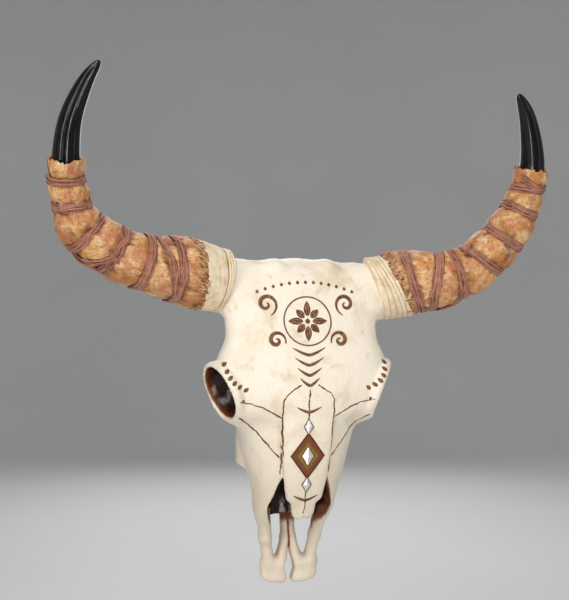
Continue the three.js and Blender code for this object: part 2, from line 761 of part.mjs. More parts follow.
const bone = new THREE.MeshStandardMaterial({ color: 0xebe4d7, roughness: 0.45, metalness: 0 });
const twine = new THREE.MeshStandardMaterial({ color: 0xe3d3b8, roughness: 0.7, metalness: 0 });
const hide = new THREE.MeshStandardMaterial({ color: 0xd4a172, roughness: 0.75, metalness: 0 });
const strapping = new THREE.MeshStandardMaterial({ color: 0x8a5546, roughness: 0.6, metalness: 0 });
const hornTip = new THREE.MeshStandardMaterial({ color: 0x111113, roughness: 0.15, metalness: 0 });
const silver = new THREE.MeshStandardMaterial({ color: 0xd9d9de, roughness: 0.25, metalness: 1 });
const steel = new THREE.MeshStandardMaterial({ color: 0x9a9c9e, roughness: 0.4, metalness: 1 });

const group = new THREE.Group();

function addPiece(name, geometry, material) {
  const mesh = new THREE.Mesh(geometry, material);
  mesh.name = name;
  group.add(mesh);
}

const acrossHalf = gridLine(2.6, 120, (x) => (x < 44 ? 5.2 : 8));
const gridLines = [
  [...acrossHalf.map((x) => -x).reverse(), ...acrossHalf],
  gridLine(-132, 14, () => 7.2),
  gridLine(-298, 64, (z) => (z < -168 ? 5.2 : 8.6)),
];
let skull = solidOf(surfaceOf(skullField, gridLines));
for (const side of [-1, 1]) skull = skull.add(solidOf(orbitRim(side))).subtract(solidOf(orbitSocket(side)));
skull = skull.simplify(FACET_TOLERANCE);
const behindWall = new THREE.BoxGeometry(260, 40, 420).translate(0, WALL_Y + 20, -110);
skull = skull.subtract(solidOf(behindWall));
for (const side of Object.values(HORNS)) skull = skull.subtract(solidOf(seatBeyond(side)));
skull = skull.subtract(solidOf(muzzleGap())).subtract(solidOf(nasalNotch()));
for (const lozenge of LOZENGES) skull = skull.subtract(solidOf(inlay(lozenge, GAP)));
const recess = new THREE.BoxGeometry(RECESS.width, 2 * RECESS.depth, RECESS.height);
skull = skull.subtract(solidOf(recess.translate(0, WALL_Y, RECESS.middle)));
for (const x of [-HANGER.nailAt, HANGER.nailAt]) {
  const hole = new THREE.CylinderGeometry(NAIL.shank + GAP, NAIL.shank + GAP, 2 * NAIL.length, 8);
  skull = skull.subtract(solidOf(hole.translate(x, WALL_Y - RECESS.depth, RECESS.middle)));
}
addPiece("skull", geometryOf(skull), bone);
for (const lozenge of LOZENGES) addPiece(lozenge.name, inlay(lozenge), silver);

const plateBack = WALL_Y - RECESS.depth + GAP;
const plate = hangerGeometry();
plate.computeBoundingBox();
addPiece("hanger", plate.translate(0, plateBack - plate.boundingBox.min.y, RECESS.middle), steel);
for (const [name, x] of [["left", -HANGER.nailAt], ["right", HANGER.nailAt]]) {
  const head = plateBack + HANGER.thickness + GAP;
  addPiece("nail_" + name, nailGeometry().translate(x, head, RECESS.middle), steel);
}

for (const [name, side] of Object.entries(HORNS)) {
  addPiece("binding_" + name, bindingGeometry(side), twine);
  addPiece("sleeve_" + name, sleeveGeometry(side), hide);
  addPiece("strap_" + name, strapGeometry(side), strapping);
  addPiece("tip_" + name, tipGeometry(side), hornTip);
}

export default group;
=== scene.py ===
"""The looks of a cast wall plaque: a painted bull skull with wrapped horns.

Shapes are worked out in millimetres, in the frame of the CAD model, and scaled to metres when a mesh is made:
+Z is up, the face looks along -Y, and the wall is the plane Y = 0.
"""

import math

import bpy
import numpy as np
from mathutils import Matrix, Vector
from mathutils.bvhtree import BVHTree


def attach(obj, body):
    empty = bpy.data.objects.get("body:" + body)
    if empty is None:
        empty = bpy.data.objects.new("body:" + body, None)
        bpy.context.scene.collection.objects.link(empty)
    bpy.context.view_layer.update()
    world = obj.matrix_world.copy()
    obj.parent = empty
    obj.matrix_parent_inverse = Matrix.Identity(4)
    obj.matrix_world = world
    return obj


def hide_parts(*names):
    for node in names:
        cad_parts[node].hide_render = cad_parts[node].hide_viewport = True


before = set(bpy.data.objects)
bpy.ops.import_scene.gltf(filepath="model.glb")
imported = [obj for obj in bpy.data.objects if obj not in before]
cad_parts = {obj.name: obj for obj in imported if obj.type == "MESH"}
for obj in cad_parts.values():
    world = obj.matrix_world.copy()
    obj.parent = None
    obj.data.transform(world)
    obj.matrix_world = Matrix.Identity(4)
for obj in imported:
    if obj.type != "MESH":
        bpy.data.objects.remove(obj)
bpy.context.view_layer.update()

MM = 0.001
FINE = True

# ---- Skull outline: stations from the poll down to the muzzle, as (height, size) ----

POLL_TOP = 37
FRONTAL_BOTTOM = -112
FRONTAL_HALF_WIDTH = [(40, 66), (0, 76), (-36, 75), (-58, 83), (-86, 77), (-118, 58)]
FRONTAL_FRONT_Y = [(40, -84), (20, -99), (-10, -110), (-50, -118), (-85, -120), (-118, -113)]
FRONTAL_BACK_Y = -62
FACE_TOP = -78
FACE_BOTTOM = -226
FACE_HALF_WIDTH = [(-78, 60), (-115, 60), (-145, 54), (-165, 49), (-185, 43), (-212, 38), (-226, 35)]
FACE_FRONT_Y = [(-78, -116), (-113, -112), (-150, -106), (-180, -102), (-196, -97), (-212, -83), (-226, -64)]
FACE_BACK_Y = [(-78, -14), (-150, -14), (-190, -22), (-212, -29), (-226, -33)]
NASAL_TOP = -100
NASAL_TIP = -212.5
NASAL_HALF_WIDTH = [
    (-100, 25),
    (-130, 25),
    (-165, 22),
    (-187, 18.3),
    (-191.5, 17),
    (-195.5, 12.9),
    (-200, 11.9),
    (-206, 11),
    (-210, 9),
    (-213, 6),
]
NASAL_FRONT_Y = [(-100, -117), (-130, -115), (-170, -109), (-200, -100), (-221, -93)]
NASAL_THICKNESS = 11
AIRWAY_HALF_WIDTH = [
    (-140, 8),
    (-166, 19.5),
    (-176, 24.5),
    (-186, 27.5),
    (-205, 31.5),
    (-232, 23),
    (-250, 19),
    (-264, 14),
]
AIRWAY_TOP = -140
AIRWAY_BOTTOM = -264
AIRWAY_FLOOR_Y = -36
FISSURE_TOP = -219
MUZZLE_BOTTOM = -289
MUZZLE_GAP = [(-292, 0.6), (-286, 1.3), (-281, 3.2), (-275, 5.0), (-268, 4.2), (-260, 0.4)]
TOOTH_TOP = -112
TOOTH_BOTTOM = -180
TOOTH_PITCH = 13

# Rounded masses and hollows, each as its middle and its radii.
POLL_BUMP = ((26, -82, 28), (13, 16, 12))
BRAINCASE = ((0, -44, -22), (50, 52, 60))
OCCIPUT = ((0, -40, 10), (64, 62, 29))
SKULL_BASE = ((0, -38, -80), (32, 30, 60))
ORBIT_WALL = ((62, -80, -86), (22, 30, 35))
PALATE = ((0, 8, -160), (24, 26, 62))
SPINAL_OPENING = ((0, -20, 42), (12, 16, 12))

# Rods, each as its two ends, its radius at each end and, where not round, how much deeper it is than wide.
RIM_NOTCH = ((63.5, -112, -94.5), (84, -104, -89), 1, 4.5)
TEMPLE_HOLLOW = ((80, -33, -62), (76, -30, -14), 13, 12)
CHEEK_ARCH = [((74, -58, -103), (74, -34, -86), 6.5, 6), ((74, -34, -86), (54, -22, -44), 6, 8)]
MUZZLE_BARS = [
    ((34, -60, -176), (31, -54, -205), 8, 7.2, 2.2),
    ((31, -54, -205), (26, -43, -240), 7.2, 6, 1.7),
    ((26, -43, -240), (21.2, -38, -266), 6, 6.4, 1.2),
]
PALATE_BARS = [
    ((3.4, -27, -204), (3.6, -34, -244), 4.2, 4.3, 1.3),
    ((3.6, -34, -244), (9, -37, -268), 4.3, 6.5, 1.2),
]

# Eye socket, on the +X side.
ORBIT_CENTRE = (77.5, -89, -87)
ORBIT_FACING = (0.89, -0.27, -0.37)
ORBIT_RADIUS = 27
ORBIT_RIM = 3.2
ORBIT_DEPTH = 23

# ---- Horns, as in the CAD model ----

# For each horn: how many degrees it leans, by share of its length; where the rounds of its binding start, on
# a binding 20 mm long; the (share, angle) routes of the strands that cross its sleeve; its centre line, from
# the skull to the tip; and, for each round of the strap, the shares of the sleeve at which it crosses the
# inside and the outside of the horn's bend.
HORNS = {
    "left": {
        "side": -1,
        "lean": [(0, -3), (0.06, -13), (0.36, 0)],
        "rounds": [-3, 1.2, 2.8, 4.4, 22.5],
        "crossings": [
            [(0.62, 176), (0.55, 140), (0.476, 104)],
            [(0.62, 182), (0.555, 168), (0.502, 158)],
            [(0.502, 96), (0.476, 106), (0.454, 114)],
        ],
        "root_radius": 29.5,
        "line": [
            (-76.5, -77, 18.5),
            (-102.5, -83, 24.5),
            (-140, -94, 31.5),
            (-174.5, -103, 41),
            (-211, -113, 67),
            (-222.5, -123, 103),
            (-224, -130, 122),
            (-220.5, -139, 156),
            (-207.5, -152, 188),
            (-196.5, -160, 204),
        ],
        "wraps": [
            (0.14, 0.14),
            (0.24, 0.14),
            (0.29, 0.32),
            (0.46, 0.48),
            (0.64, 0.62),
            (0.77, 0.79),
            (0.9, 0.92),
        ],
    },
    "right": {
        "side": 1,
        "lean": [(0, 8), (0.06, 17), (0.36, 0)],
        "rounds": [-3, 3.5, 7.5, 12, 16.5, 26],
        "crossings": [[(0.955, 40), (0.93, 70), (0.905, 100)], [(0.3, 158), (0.22, 168), (0.16, 180)]],
        "root_radius": 31.5,
        "line": [
            (80, -76, 11),
            (101, -80, 15),
            (140, -94, 21.5),
            (169.5, -101, 30.5),
            (205.5, -114, 67),
            (222, -124, 109),
            (225, -129, 129),
            (222, -135, 147.5),
            (210, -147, 179),
            (195.5, -158, 196),
        ],
        "wraps": [
            (0.1, 0.08),
            (0.26, 0.13),
            (0.33, 0.3),
            (0.43, 0.49),
            (0.61, 0.63),
            (0.79, 0.78),
            (0.89, 0.92),
        ],
    },
}
ROOT_STEP = 3  # how far a binding stands above the horn's socket
BINDING_POINT = 1  # point of the centre line at which the binding ends
TIP_POINT = 6  # and at which the sleeve ends
HORN_CORE = {"x": 46, "y": -74, "drop": 4, "radius": 22}  # where a horn's bone core leaves the skull
SLEEVE_ROOT = 33
SLEEVE_RADIUS = [
    (0, SLEEVE_ROOT),
    (0.1, 32.5),
    (0.25, 26.5),
    (0.45, 23.5),
    (0.6, 22),
    (0.75, 18.7),
    (0.9, 16),
    (1, 15.3),
]
SLEEVE_LIP = 1.5
TIP_RADIUS = 12.7
HIDE_SEED = {-1: 100, 1: 200}  # by the horn's side
RECESS = {"width": 66, "height": 16, "depth": 3.6, "middle": 16}


# ---- Ornament and joints of the bone, drawn on the front of the skull as (x, z) ----

MIDDLE_SUTURE = [(0, -84), (0, -206)]
SIDE_SUTURES = [  # joints between the bones right of the middle, mirrored for the left
    [(8, -80), (20, -88), (25, -100), (24, -135), (24, -166)],
    [(25, -112), (44, -101), (66, -95)],
    [(65, -111), (50, -122), (38, -136), (26, -150)],
]
SUTURE_PITS = {"count": 5, "top": -90, "apart": 5.5, "size": 2.2}

# The painted ornament is the same on both sides of the middle.
STAR = {
    "at": (0, -20),
    "rays": 8,
    "inner": 4.5,
    "outer": 19,
    "short_share": 0.8,  # every second ray is shorter
    "width": 7,
    "ring": 23,
    "ring_width": 1.6,
    "dot": 5.2,
    "dot_width": 5,
}
SCROLLS = [  # right-hand ones: middle, size, turns, and the angle in degrees at which the outer end lies
    {"at": (39, -4), "size": 11, "turns": 1.4, "end": 250},
    {"at": (31, -38), "size": 9, "turns": 1.4, "end": 200},
]
SCROLL_WIDTH = (1.2, 4.2)  # at its two ends, and where it is widest
ARCH = {"dots": 13, "half_width": 47, "top": 17, "drop": 9, "size": 3.6}
CHEVRONS = {"count": 4, "top": -52, "apart": 9.5, "half_width": 16, "taper": 2.2, "rise": 7, "width": 3.2}
EYE_ROW = {"count": 6, "from": (79, -60), "to": (60, -84), "bow": 5, "length": 6, "width": 4}
NOSE_PANEL = {"at": (0, -148), "half_width": 17, "half_height": 23}
NOSE_BARS = {"heights": [-106, -192], "half_width": 12, "rise": 5, "width": 3.2}
LOZENGES = {  # silver, as height on the face, width, length
    "inlay_upper": (-120, 8, 13),
    "inlay_middle": (-148, 11, 18),
    "inlay_lower": (-176, 8, 13),
}


# ---- Smooth random numbers ----


def noise(points, size, seed):
    """Smooth values from -1 to 1 at points in millimetres, with features of about that size."""
    table = np.random.default_rng(seed).uniform(-1, 1, (32, 32, 32))
    p = np.asarray(points, float) / size
    cell = np.floor(p).astype(int)
    t = p - cell
    t = t * t * (3 - 2 * t)
    total = np.zeros(p.shape[:-1])
    for corner in np.ndindex(2, 2, 2):
        i = (cell + corner) % 32
        weight = np.prod(np.where(corner, t, 1 - t), axis=-1)
        total += weight * table[i[..., 0], i[..., 1], i[..., 2]]
    return total


def rumple(points, size, seed, octaves=3):
    """Noise with finer noise on top."""
    return sum(noise(points, size / 2**k, seed + k) / 2**k for k in range(octaves))


def stack(*parts):
    """Points from coordinates that share or repeat a shape."""
    return np.stack(np.broadcast_arrays(*parts), -1)


def smoothstep(low, high, value):
    t = np.clip((value - low) / (high - low), 0, 1)
    return t * t * (3 - 2 * t)


# ---- Field functions: negative inside, roughly the distance to the surface ----


def union(a, b, blend):
    near = np.maximum(blend - np.abs(a - b), 0) / blend
    return np.minimum(a, b) - near * near * blend / 4


def cut(a, tool, blend):
    return -union(-a, tool, blend)


def within(a, b, blend):
    return -union(-a, -b, blend)


def station(stations, z):
    """The value at z, on a smooth curve through (z, value) stations that rise or fall."""
    points = sorted(stations)
    zs = np.array([p[0] for p in points], float)
    vs = np.array([p[1] for p in points], float)
    slopes = np.empty(len(zs))
    slopes[1:-1] = (vs[2:] - vs[:-2]) / (zs[2:] - zs[:-2])
    slopes[0] = (vs[1] - vs[0]) / (zs[1] - zs[0])
    slopes[-1] = (vs[-1] - vs[-2]) / (zs[-1] - zs[-2])
    i = np.clip(np.searchsorted(zs, z, side="right") - 1, 0, len(zs) - 2)
    width = zs[i + 1] - zs[i]
    t = np.clip((z - zs[i]) / width, 0, 1)
    s = 1 - t
    ends = vs[i] * (1 + 2 * t) * s * s + vs[i + 1] * t * t * (3 - 2 * t)
    return ends + width * (slopes[i] * t * s * s - slopes[i + 1] * t * t * s)


def section(x, y, half_width, front, back, squareness):
    """A body whose level section is a rounded rectangle; squareness 2 is an ellipse."""
    half_depth = (back - front) / 2
    u = np.abs(x) / half_width
    v = np.abs(y - (front + back) / 2) / half_depth
    total = u**squareness + v**squareness
    slope = np.hypot(u ** (squareness - 1) / half_width, v ** (squareness - 1) / half_depth)
    q = total ** (1 / squareness)
    return (q - 1) * total ** ((squareness - 1) / squareness) / np.maximum(slope, 1e-6)


def ellipsoid(x, y, z, centre, radii):
    u, v, w = x - centre[0], y - centre[1], z - centre[2]
    a, b, c = radii
    k0 = np.sqrt((u / a) ** 2 + (v / b) ** 2 + (w / c) ** 2)
    k1 = np.sqrt((u / a**2) ** 2 + (v / b**2) ** 2 + (w / c**2) ** 2)
    return k0 * (k0 - 1) / np.maximum(k1, 1e-6)


def rod(x, y, z, a, b, radius_a, radius_b, flat=1):
    """A rod from a to b with a radius at each end; flat > 1 makes it deeper along Y than across."""
    d = (b[0] - a[0], (b[1] - a[1]) / flat, b[2] - a[2])
    p = (x - a[0], (y - a[1]) / flat, z - a[2])
    t = np.clip(sum(pi * di for pi, di in zip(p, d)) / sum(di * di for di in d), 0, 1)
    gap = np.sqrt(sum((pi - di * t) ** 2 for pi, di in zip(p, d)))
    return gap - (radius_a + (radius_b - radius_a) * t)


# ---- Skull ----


def cranium(x, y, z):
    width = station(FRONTAL_HALF_WIDTH, z)
    front = station(FRONTAL_FRONT_Y, z)
    f = section(x, y, width, front, FRONTAL_BACK_Y, 2.6)
    f = within(f, z - POLL_TOP, 14)
    f = within(f, FRONTAL_BOTTOM - z, 10)
    f = union(f, ellipsoid(x, y, z, *POLL_BUMP), 7)
    f = union(f, ellipsoid(x, y, z, *BRAINCASE), 14)
    f = union(f, ellipsoid(x, y, z, *OCCIPUT), 14)
    return union(f, ellipsoid(x, y, z, *SKULL_BASE), 14)


def orbit_frame(x, y, z):
    """Distances from the middle of the eye socket: out along its axis, and across it."""
    p = (x - ORBIT_CENTRE[0], y - ORBIT_CENTRE[1], z - ORBIT_CENTRE[2])
    out = sum(pi * fi for pi, fi in zip(p, ORBIT_FACING))
    across = np.sqrt(np.maximum(sum(pi * pi for pi in p) - out**2, 0))
    return out, across


def orbit_rim(x, y, z):
    out, across = orbit_frame(x, y, z)
    return np.hypot(out, across - ORBIT_RADIUS) - ORBIT_RIM


def orbit_socket(x, y, z):
    out, across = orbit_frame(x, y, z)
    mouth = ORBIT_RADIUS - 0.5
    bowl = (np.hypot((out - 8) / (ORBIT_DEPTH + 8), across / mouth) - 1) * mouth
    return union(bowl, rod(x, y, z, *RIM_NOTCH), 2)


def orbit_cup(x, y, z):
    """The bone behind the eye socket."""
    near = [c - 3 * f for c, f in zip(ORBIT_CENTRE, ORBIT_FACING)]
    deep = [c - 27 * f for c, f in zip(ORBIT_CENTRE, ORBIT_FACING)]
    return rod(x, y, z, near, deep, 27.8, 15)


def orbit_clearance(x, y, z):
    """Clear air outside the rim, so that the brow doesn't overhang the socket."""
    out, across = orbit_frame(x, y, z)
    return (np.hypot((out - 34) / 31, across / 46) - 1) * 31


def cheek_arch(x, y, z):
    """The arch that runs back from the eye socket, over the hollow of the temple."""
    root, end = CHEEK_ARCH
    return union(rod(x, y, z, *root), rod(x, y, z, *end), 6)


def face(x, y, z):
    front = station(FACE_FRONT_Y, z)
    f = section(x, y, station(FACE_HALF_WIDTH, z), front, station(FACE_BACK_Y, z), 2.4)
    f = within(f, z - FACE_TOP, 16)
    f = within(f, FACE_BOTTOM - z, 10)
    tuber = section(x, y, 54.5, -60, -16, 3)
    tuber = within(within(tuber, -165.5 - z, 4), z + 118, 30)
    return union(f, tuber, 8)


def tooth_row(x, y, z):
    """One cheek-tooth row: crowns side by side, worn flat where they meet the wall."""
    along = np.clip((z - TOOTH_TOP) / (TOOTH_BOTTOM - TOOTH_TOP), 0, 1)
    crown = 1.3 * np.cos(((z - TOOTH_TOP) / TOOTH_PITCH - 0.5) * 2 * np.pi)
    f = section(x - (38 - 7 * along), y, 8.5 + crown, -40, 14, 3)
    f = within(f, z - TOOTH_TOP, 4)
    return within(f, TOOTH_BOTTOM - z, 4)


def muzzle(x, y, z):
    top, middle, bottom = MUZZLE_BARS
    f = union(rod(x, y, z, *top), rod(x, y, z, *middle), 6)
    f = union(f, rod(x, y, z, *bottom), 5)
    plate = section(x - 15.2, y, 14.6, -44, -30, 2.6)
    plate = within(plate, z + 265, 6)
    plate = within(plate, MUZZLE_BOTTOM + 0.01 * (x - 8) ** 2 - z, 7)
    return union(f, plate, 7)


def muzzle_gap(x, y, z):
    """The gap on the midline between the two plates of the muzzle."""
    return np.maximum(x - station(MUZZLE_GAP, z), z + 259) + 0 * y


def airway(x, y, z):
    floor = np.where(z < FISSURE_TOP, 60, AIRWAY_FLOOR_Y)
    f = section(x, y, station(AIRWAY_HALF_WIDTH, z), -160, floor, 4)
    f = within(f, z - AIRWAY_TOP, 8)
    return within(f, AIRWAY_BOTTOM - z, 3)


def nasal_bones(x, y, z):
    front = station(NASAL_FRONT_Y, z)
    f = section(x, y, station(NASAL_HALF_WIDTH, z), front, front + NASAL_THICKNESS, 2.8)
    f = within(f, z - NASAL_TOP, 20)
    f = within(f, NASAL_TIP - z, 2.5)
    return cut(f, np.hypot(x, z + 214.5) - 4.2 + 0 * y, 1.5)  # notch between the two tips


def half_skull(x, y, z):
    """The skull on the +X side, without the sockets of the horns."""
    f = union(cranium(x, y, z), ellipsoid(x, y, z, *ORBIT_WALL), 10)
    f = union(f, face(x, y, z), 12)
    f = union(f, tooth_row(x, y, z), 5)
    f = cut(f, orbit_clearance(x, y, z), 5)
    f = cut(f, rod(x, y, z, *TEMPLE_HOLLOW), 7)
    f = union(f, orbit_cup(x, y, z), 6)
    f = union(f, orbit_rim(x, y, z), 5)
    f = union(f, cheek_arch(x, y, z), 7)
    f = cut(f, orbit_socket(x, y, z), 3)
    f = cut(f, airway(x, y, z), 2)
    f = union(f, muzzle(x, y, z), 5)
    f = cut(f, ellipsoid(x, y, z, *PALATE), 6)
    f = cut(f, ellipsoid(x, y, z, *SPINAL_OPENING), 4)
    f = union(f, nasal_bones(x, y, z), 3)
    upper, lower = PALATE_BARS
    f = union(f, union(rod(x, y, z, *upper), rod(x, y, z, *lower), 4), 5)
    return cut(f, muzzle_gap(x, y, z), 2)


def with_horn_roots(f, x, y, z):
    """Adds the horns' sockets, cut square where the bindings start."""
    for horn in HORNS.values():
        end = horn["line"][0][:2] + (horn["line"][0][2] - ROOT_STEP,)
        start = (horn["side"] * HORN_CORE["x"], HORN_CORE["y"], end[2] - HORN_CORE["drop"])
        f = union(f, rod(x, y, z, start, end, HORN_CORE["radius"], horn["root_radius"] - ROOT_STEP), 12)
    for horn in HORNS.values():
        at = horn_frames(horn, np.array([0.0]))
        beyond = sum((p - c) * d for p, c, d in zip((x, y, z), at["centre"][0], at["along"][0]))
        ball = np.sqrt(sum((p - c) ** 2 for p, c in zip((x, y, z), at["centre"][0]))) - 62
        f = np.maximum(f, -np.maximum(-beyond, ball))
    return f


def flat_at_wall(f, x, y, z):
    """Saws the back off at the wall, and sinks the hanger's recess into it."""
    recess = np.maximum(np.abs(x) - RECESS["width"] / 2, np.abs(z - RECESS["middle"]) - RECESS["height"] / 2)
    recess = np.maximum(recess, -y - RECESS["depth"])
    return np.maximum(np.maximum(f, y), -recess)


def skull_field(x, y, z):
    f = with_horn_roots(half_skull(np.abs(x), y, z), x, y, z)
    return flat_at_wall(f, x, y, z)


# ---- Horn frames ----


def horn_curve(horn):
    """The horn's centre line as points, their shares of its length, and the length itself.

    The last two values are the shares at which the binding and the sleeve end.
    """
    points = np.array(horn["line"], float)
    before = 2 * points[0] - points[1]
    after = 2 * points[-1] - points[-2]
    knots = np.vstack([before, points, after])
    dense = []
    for i in range(len(points) - 1):
        p = knots[i : i + 4]
        gaps = np.maximum(np.linalg.norm(np.diff(p, axis=0), axis=1) ** 0.5, 1e-6)
        first = (p[1] - p[0]) / gaps[0] - (p[2] - p[0]) / (gaps[0] + gaps[1]) + (p[2] - p[1]) / gaps[1]
        last = (p[2] - p[1]) / gaps[1] - (p[3] - p[1]) / (gaps[1] + gaps[2]) + (p[3] - p[2]) / gaps[2]
        first, last = first * gaps[1], last * gaps[1]
        t = np.linspace(0, 1, 60, endpoint=False)[:, None]
        cubic = 2 * p[1] - 2 * p[2] + first + last
        square = -3 * p[1] + 3 * p[2] - 2 * first - last
        dense.append(p[1] + t * (first + t * (square + t * cubic)))
    dense = np.vstack([*dense, points[-1:]])
    length = np.concatenate([[0], np.cumsum(np.linalg.norm(np.diff(dense, axis=0), axis=1))])
    shares = length / length[-1]
    return dense, shares, length[-1], shares[60 * BINDING_POINT], shares[60 * TIP_POINT]


def unit(v):
    return v / np.maximum(np.linalg.norm(v, axis=-1, keepdims=True), 1e-9)


def horn_frames(horn, share):
    """Centres at shares of the horn's length, and directions along it, to its front and inside its bend."""
    dense, shares, _, _, _ = horn_curve(horn)
    share = np.clip(share, 0, 1)
    at = lambda s: np.stack([np.interp(s, shares, dense[:, k]) for k in range(3)], -1)
    along = unit(at(np.minimum(share + 0.004, 1)) - at(np.maximum(share - 0.004, 0)))
    front = np.array([0.0, -1.0, 0.0])
    front = unit(front - along * (along @ front)[..., None])
    inner = np.cross(front, along) * horn["side"]
    turn = np.radians(station(horn["lean"], share))[..., None]
    leaned = inner * np.cos(turn) - along * np.sin(turn)
    along = along * np.cos(turn) + inner * np.sin(turn)
    return {"centre": at(share), "along": along, "front": front, "inner": leaned}


def horn_points(frames, radius, angle, shift=0.0):
    """Points round the horn: angle 0 is the inside of its bend and a quarter turn on is its front."""
    cos, sin = np.cos(angle)[..., None], np.sin(angle)[..., None]
    outward = frames["inner"] * cos + frames["front"] * sin
    return frames["centre"] + outward * radius[..., None] + frames["along"] * np.asarray(shift)[..., None]


# ---- Surfaces ----


def surface_of(values, lines):
    """Vertices and outward quads of the zero surface of values on a grid: one vertex in each crossed cell."""
    filled = values < 0
    cells = tuple(n - 1 for n in values.shape)
    corners = list(np.ndindex(2, 2, 2))
    at_cells = lambda c: tuple(slice(start, start + size) for start, size in zip(c, cells))
    count = sum(filled[at_cells(c)].astype(np.int8) for c in corners)
    crossed = (count > 0) & (count < 8)
    number = np.full(cells, -1)
    number[crossed] = np.arange(crossed.sum())
    where = np.argwhere(crossed)
    at_corner = {c: values[tuple((where + c).T)] for c in corners}
    total = np.zeros((len(where), 3))
    hits = np.zeros(len(where))
    for a in corners:
        for axis in range(3):
            if a[axis]:
                continue
            b = tuple(a[k] + (k == axis) for k in range(3))
            va, vb = at_corner[a], at_corner[b]
            crosses = (va < 0) != (vb < 0)
            share = np.where(crosses, va / np.where(crosses, va - vb, 1), 0)
            point = np.array(a, float) + share[:, None] * np.eye(3)[axis]
            total += np.where(crosses[:, None], point, 0)
            hits += crosses
    inside = total / hits[:, None]
    low = np.stack([lines[k][where[:, k]] for k in range(3)], 1)
    high = np.stack([lines[k][where[:, k] + 1] for k in range(3)], 1)
    quads = []
    for axis in range(3):
        b, c = (axis + 1) % 3, (axis + 2) % 3
        near = [slice(1, -1)] * 3
        far = [slice(1, -1)] * 3
        near[axis] = slice(0, -1)
        far[axis] = slice(1, None)
        at = np.argwhere(filled[tuple(near)] != filled[tuple(far)]) + 1
        at[:, axis] -= 1
        ring = []
        for db, dc in ((-1, -1), (0, -1), (0, 0), (-1, 0)):
            cell = at.copy()
            cell[:, b] += db
            cell[:, c] += dc
            ring.append(number[tuple(cell.T)])
        quad = np.stack(ring, 1)
        backward = ~filled[tuple(at.T)]
        quad[backward] = quad[backward, ::-1]
        quads.append(quad)
    return low + (high - low) * inside, np.vstack(quads), (low, high)


def gradient(field, points, step=0.3):
    columns = []
    for axis in range(3):
        shift = np.eye(3)[axis] * step
        columns.append((field(*(points + shift).T) - field(*(points - shift).T)) / (2 * step))
    return np.stack(columns, 1)


def settle(field, points, box, rounds=2):
    """Moves points onto the surface of the field, each inside its own cell."""
    low, high = box
    margin = 0.05 * (high - low)
    for _ in range(rounds):
        slope = gradient(field, points)
        step = field(*points.T)[:, None] * slope / np.maximum((slope**2).sum(1), 0.05)[:, None]
        points = np.clip(points - step, low + margin, high - margin)
    return points


def grid_line(start, stop, size_at):
    line = [start]
    while line[-1] < stop:
        line.append(line[-1] + size_at(line[-1]))
    return np.array(line)


def add_mesh(name, points, faces, attributes=None):
    """A smooth-shaded mesh object from points in millimetres."""
    mesh = bpy.data.meshes.new(name)
    mesh.from_pydata((np.asarray(points) * MM).tolist(), [], [list(map(int, f)) for f in faces])
    mesh.validate()
    mesh.shade_smooth()
    for key, values in (attributes or {}).items():
        layer = mesh.attributes.new(key, "FLOAT", "POINT")
        layer.data.foreach_set("value", np.asarray(values, np.float32))
    piece = bpy.data.objects.new(name, mesh)
    bpy.context.scene.collection.objects.link(piece)
    return piece


def place(piece, slot, material, *nodes):
    """Finishes a piece: its material, the body it rides on and the CAD nodes it stands for; its slot is not
    used.
    """
    piece.data.materials.append(material)
    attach(piece, "root")
    if nodes:
        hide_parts(*nodes)


def tube_faces(rings, sides, close_ends=True, flip=False):
    """Quads over rings of points, each ring closed round, and a fan over each end."""
    r, i = np.meshgrid(np.arange(rings - 1), np.arange(sides), indexing="ij")
    a = r * sides + i
    b = r * sides + (i + 1) % sides
    quads = np.stack([a, b, b + sides, a + sides], -1).reshape(-1, 4)
    faces = quads.tolist()
    if close_ends:
        faces.append(list(range(sides))[::-1])
        faces.append([(rings - 1) * sides + k for k in range(sides)])
    return [f[::-1] for f in faces] if flip else faces


# ---- Materials ----


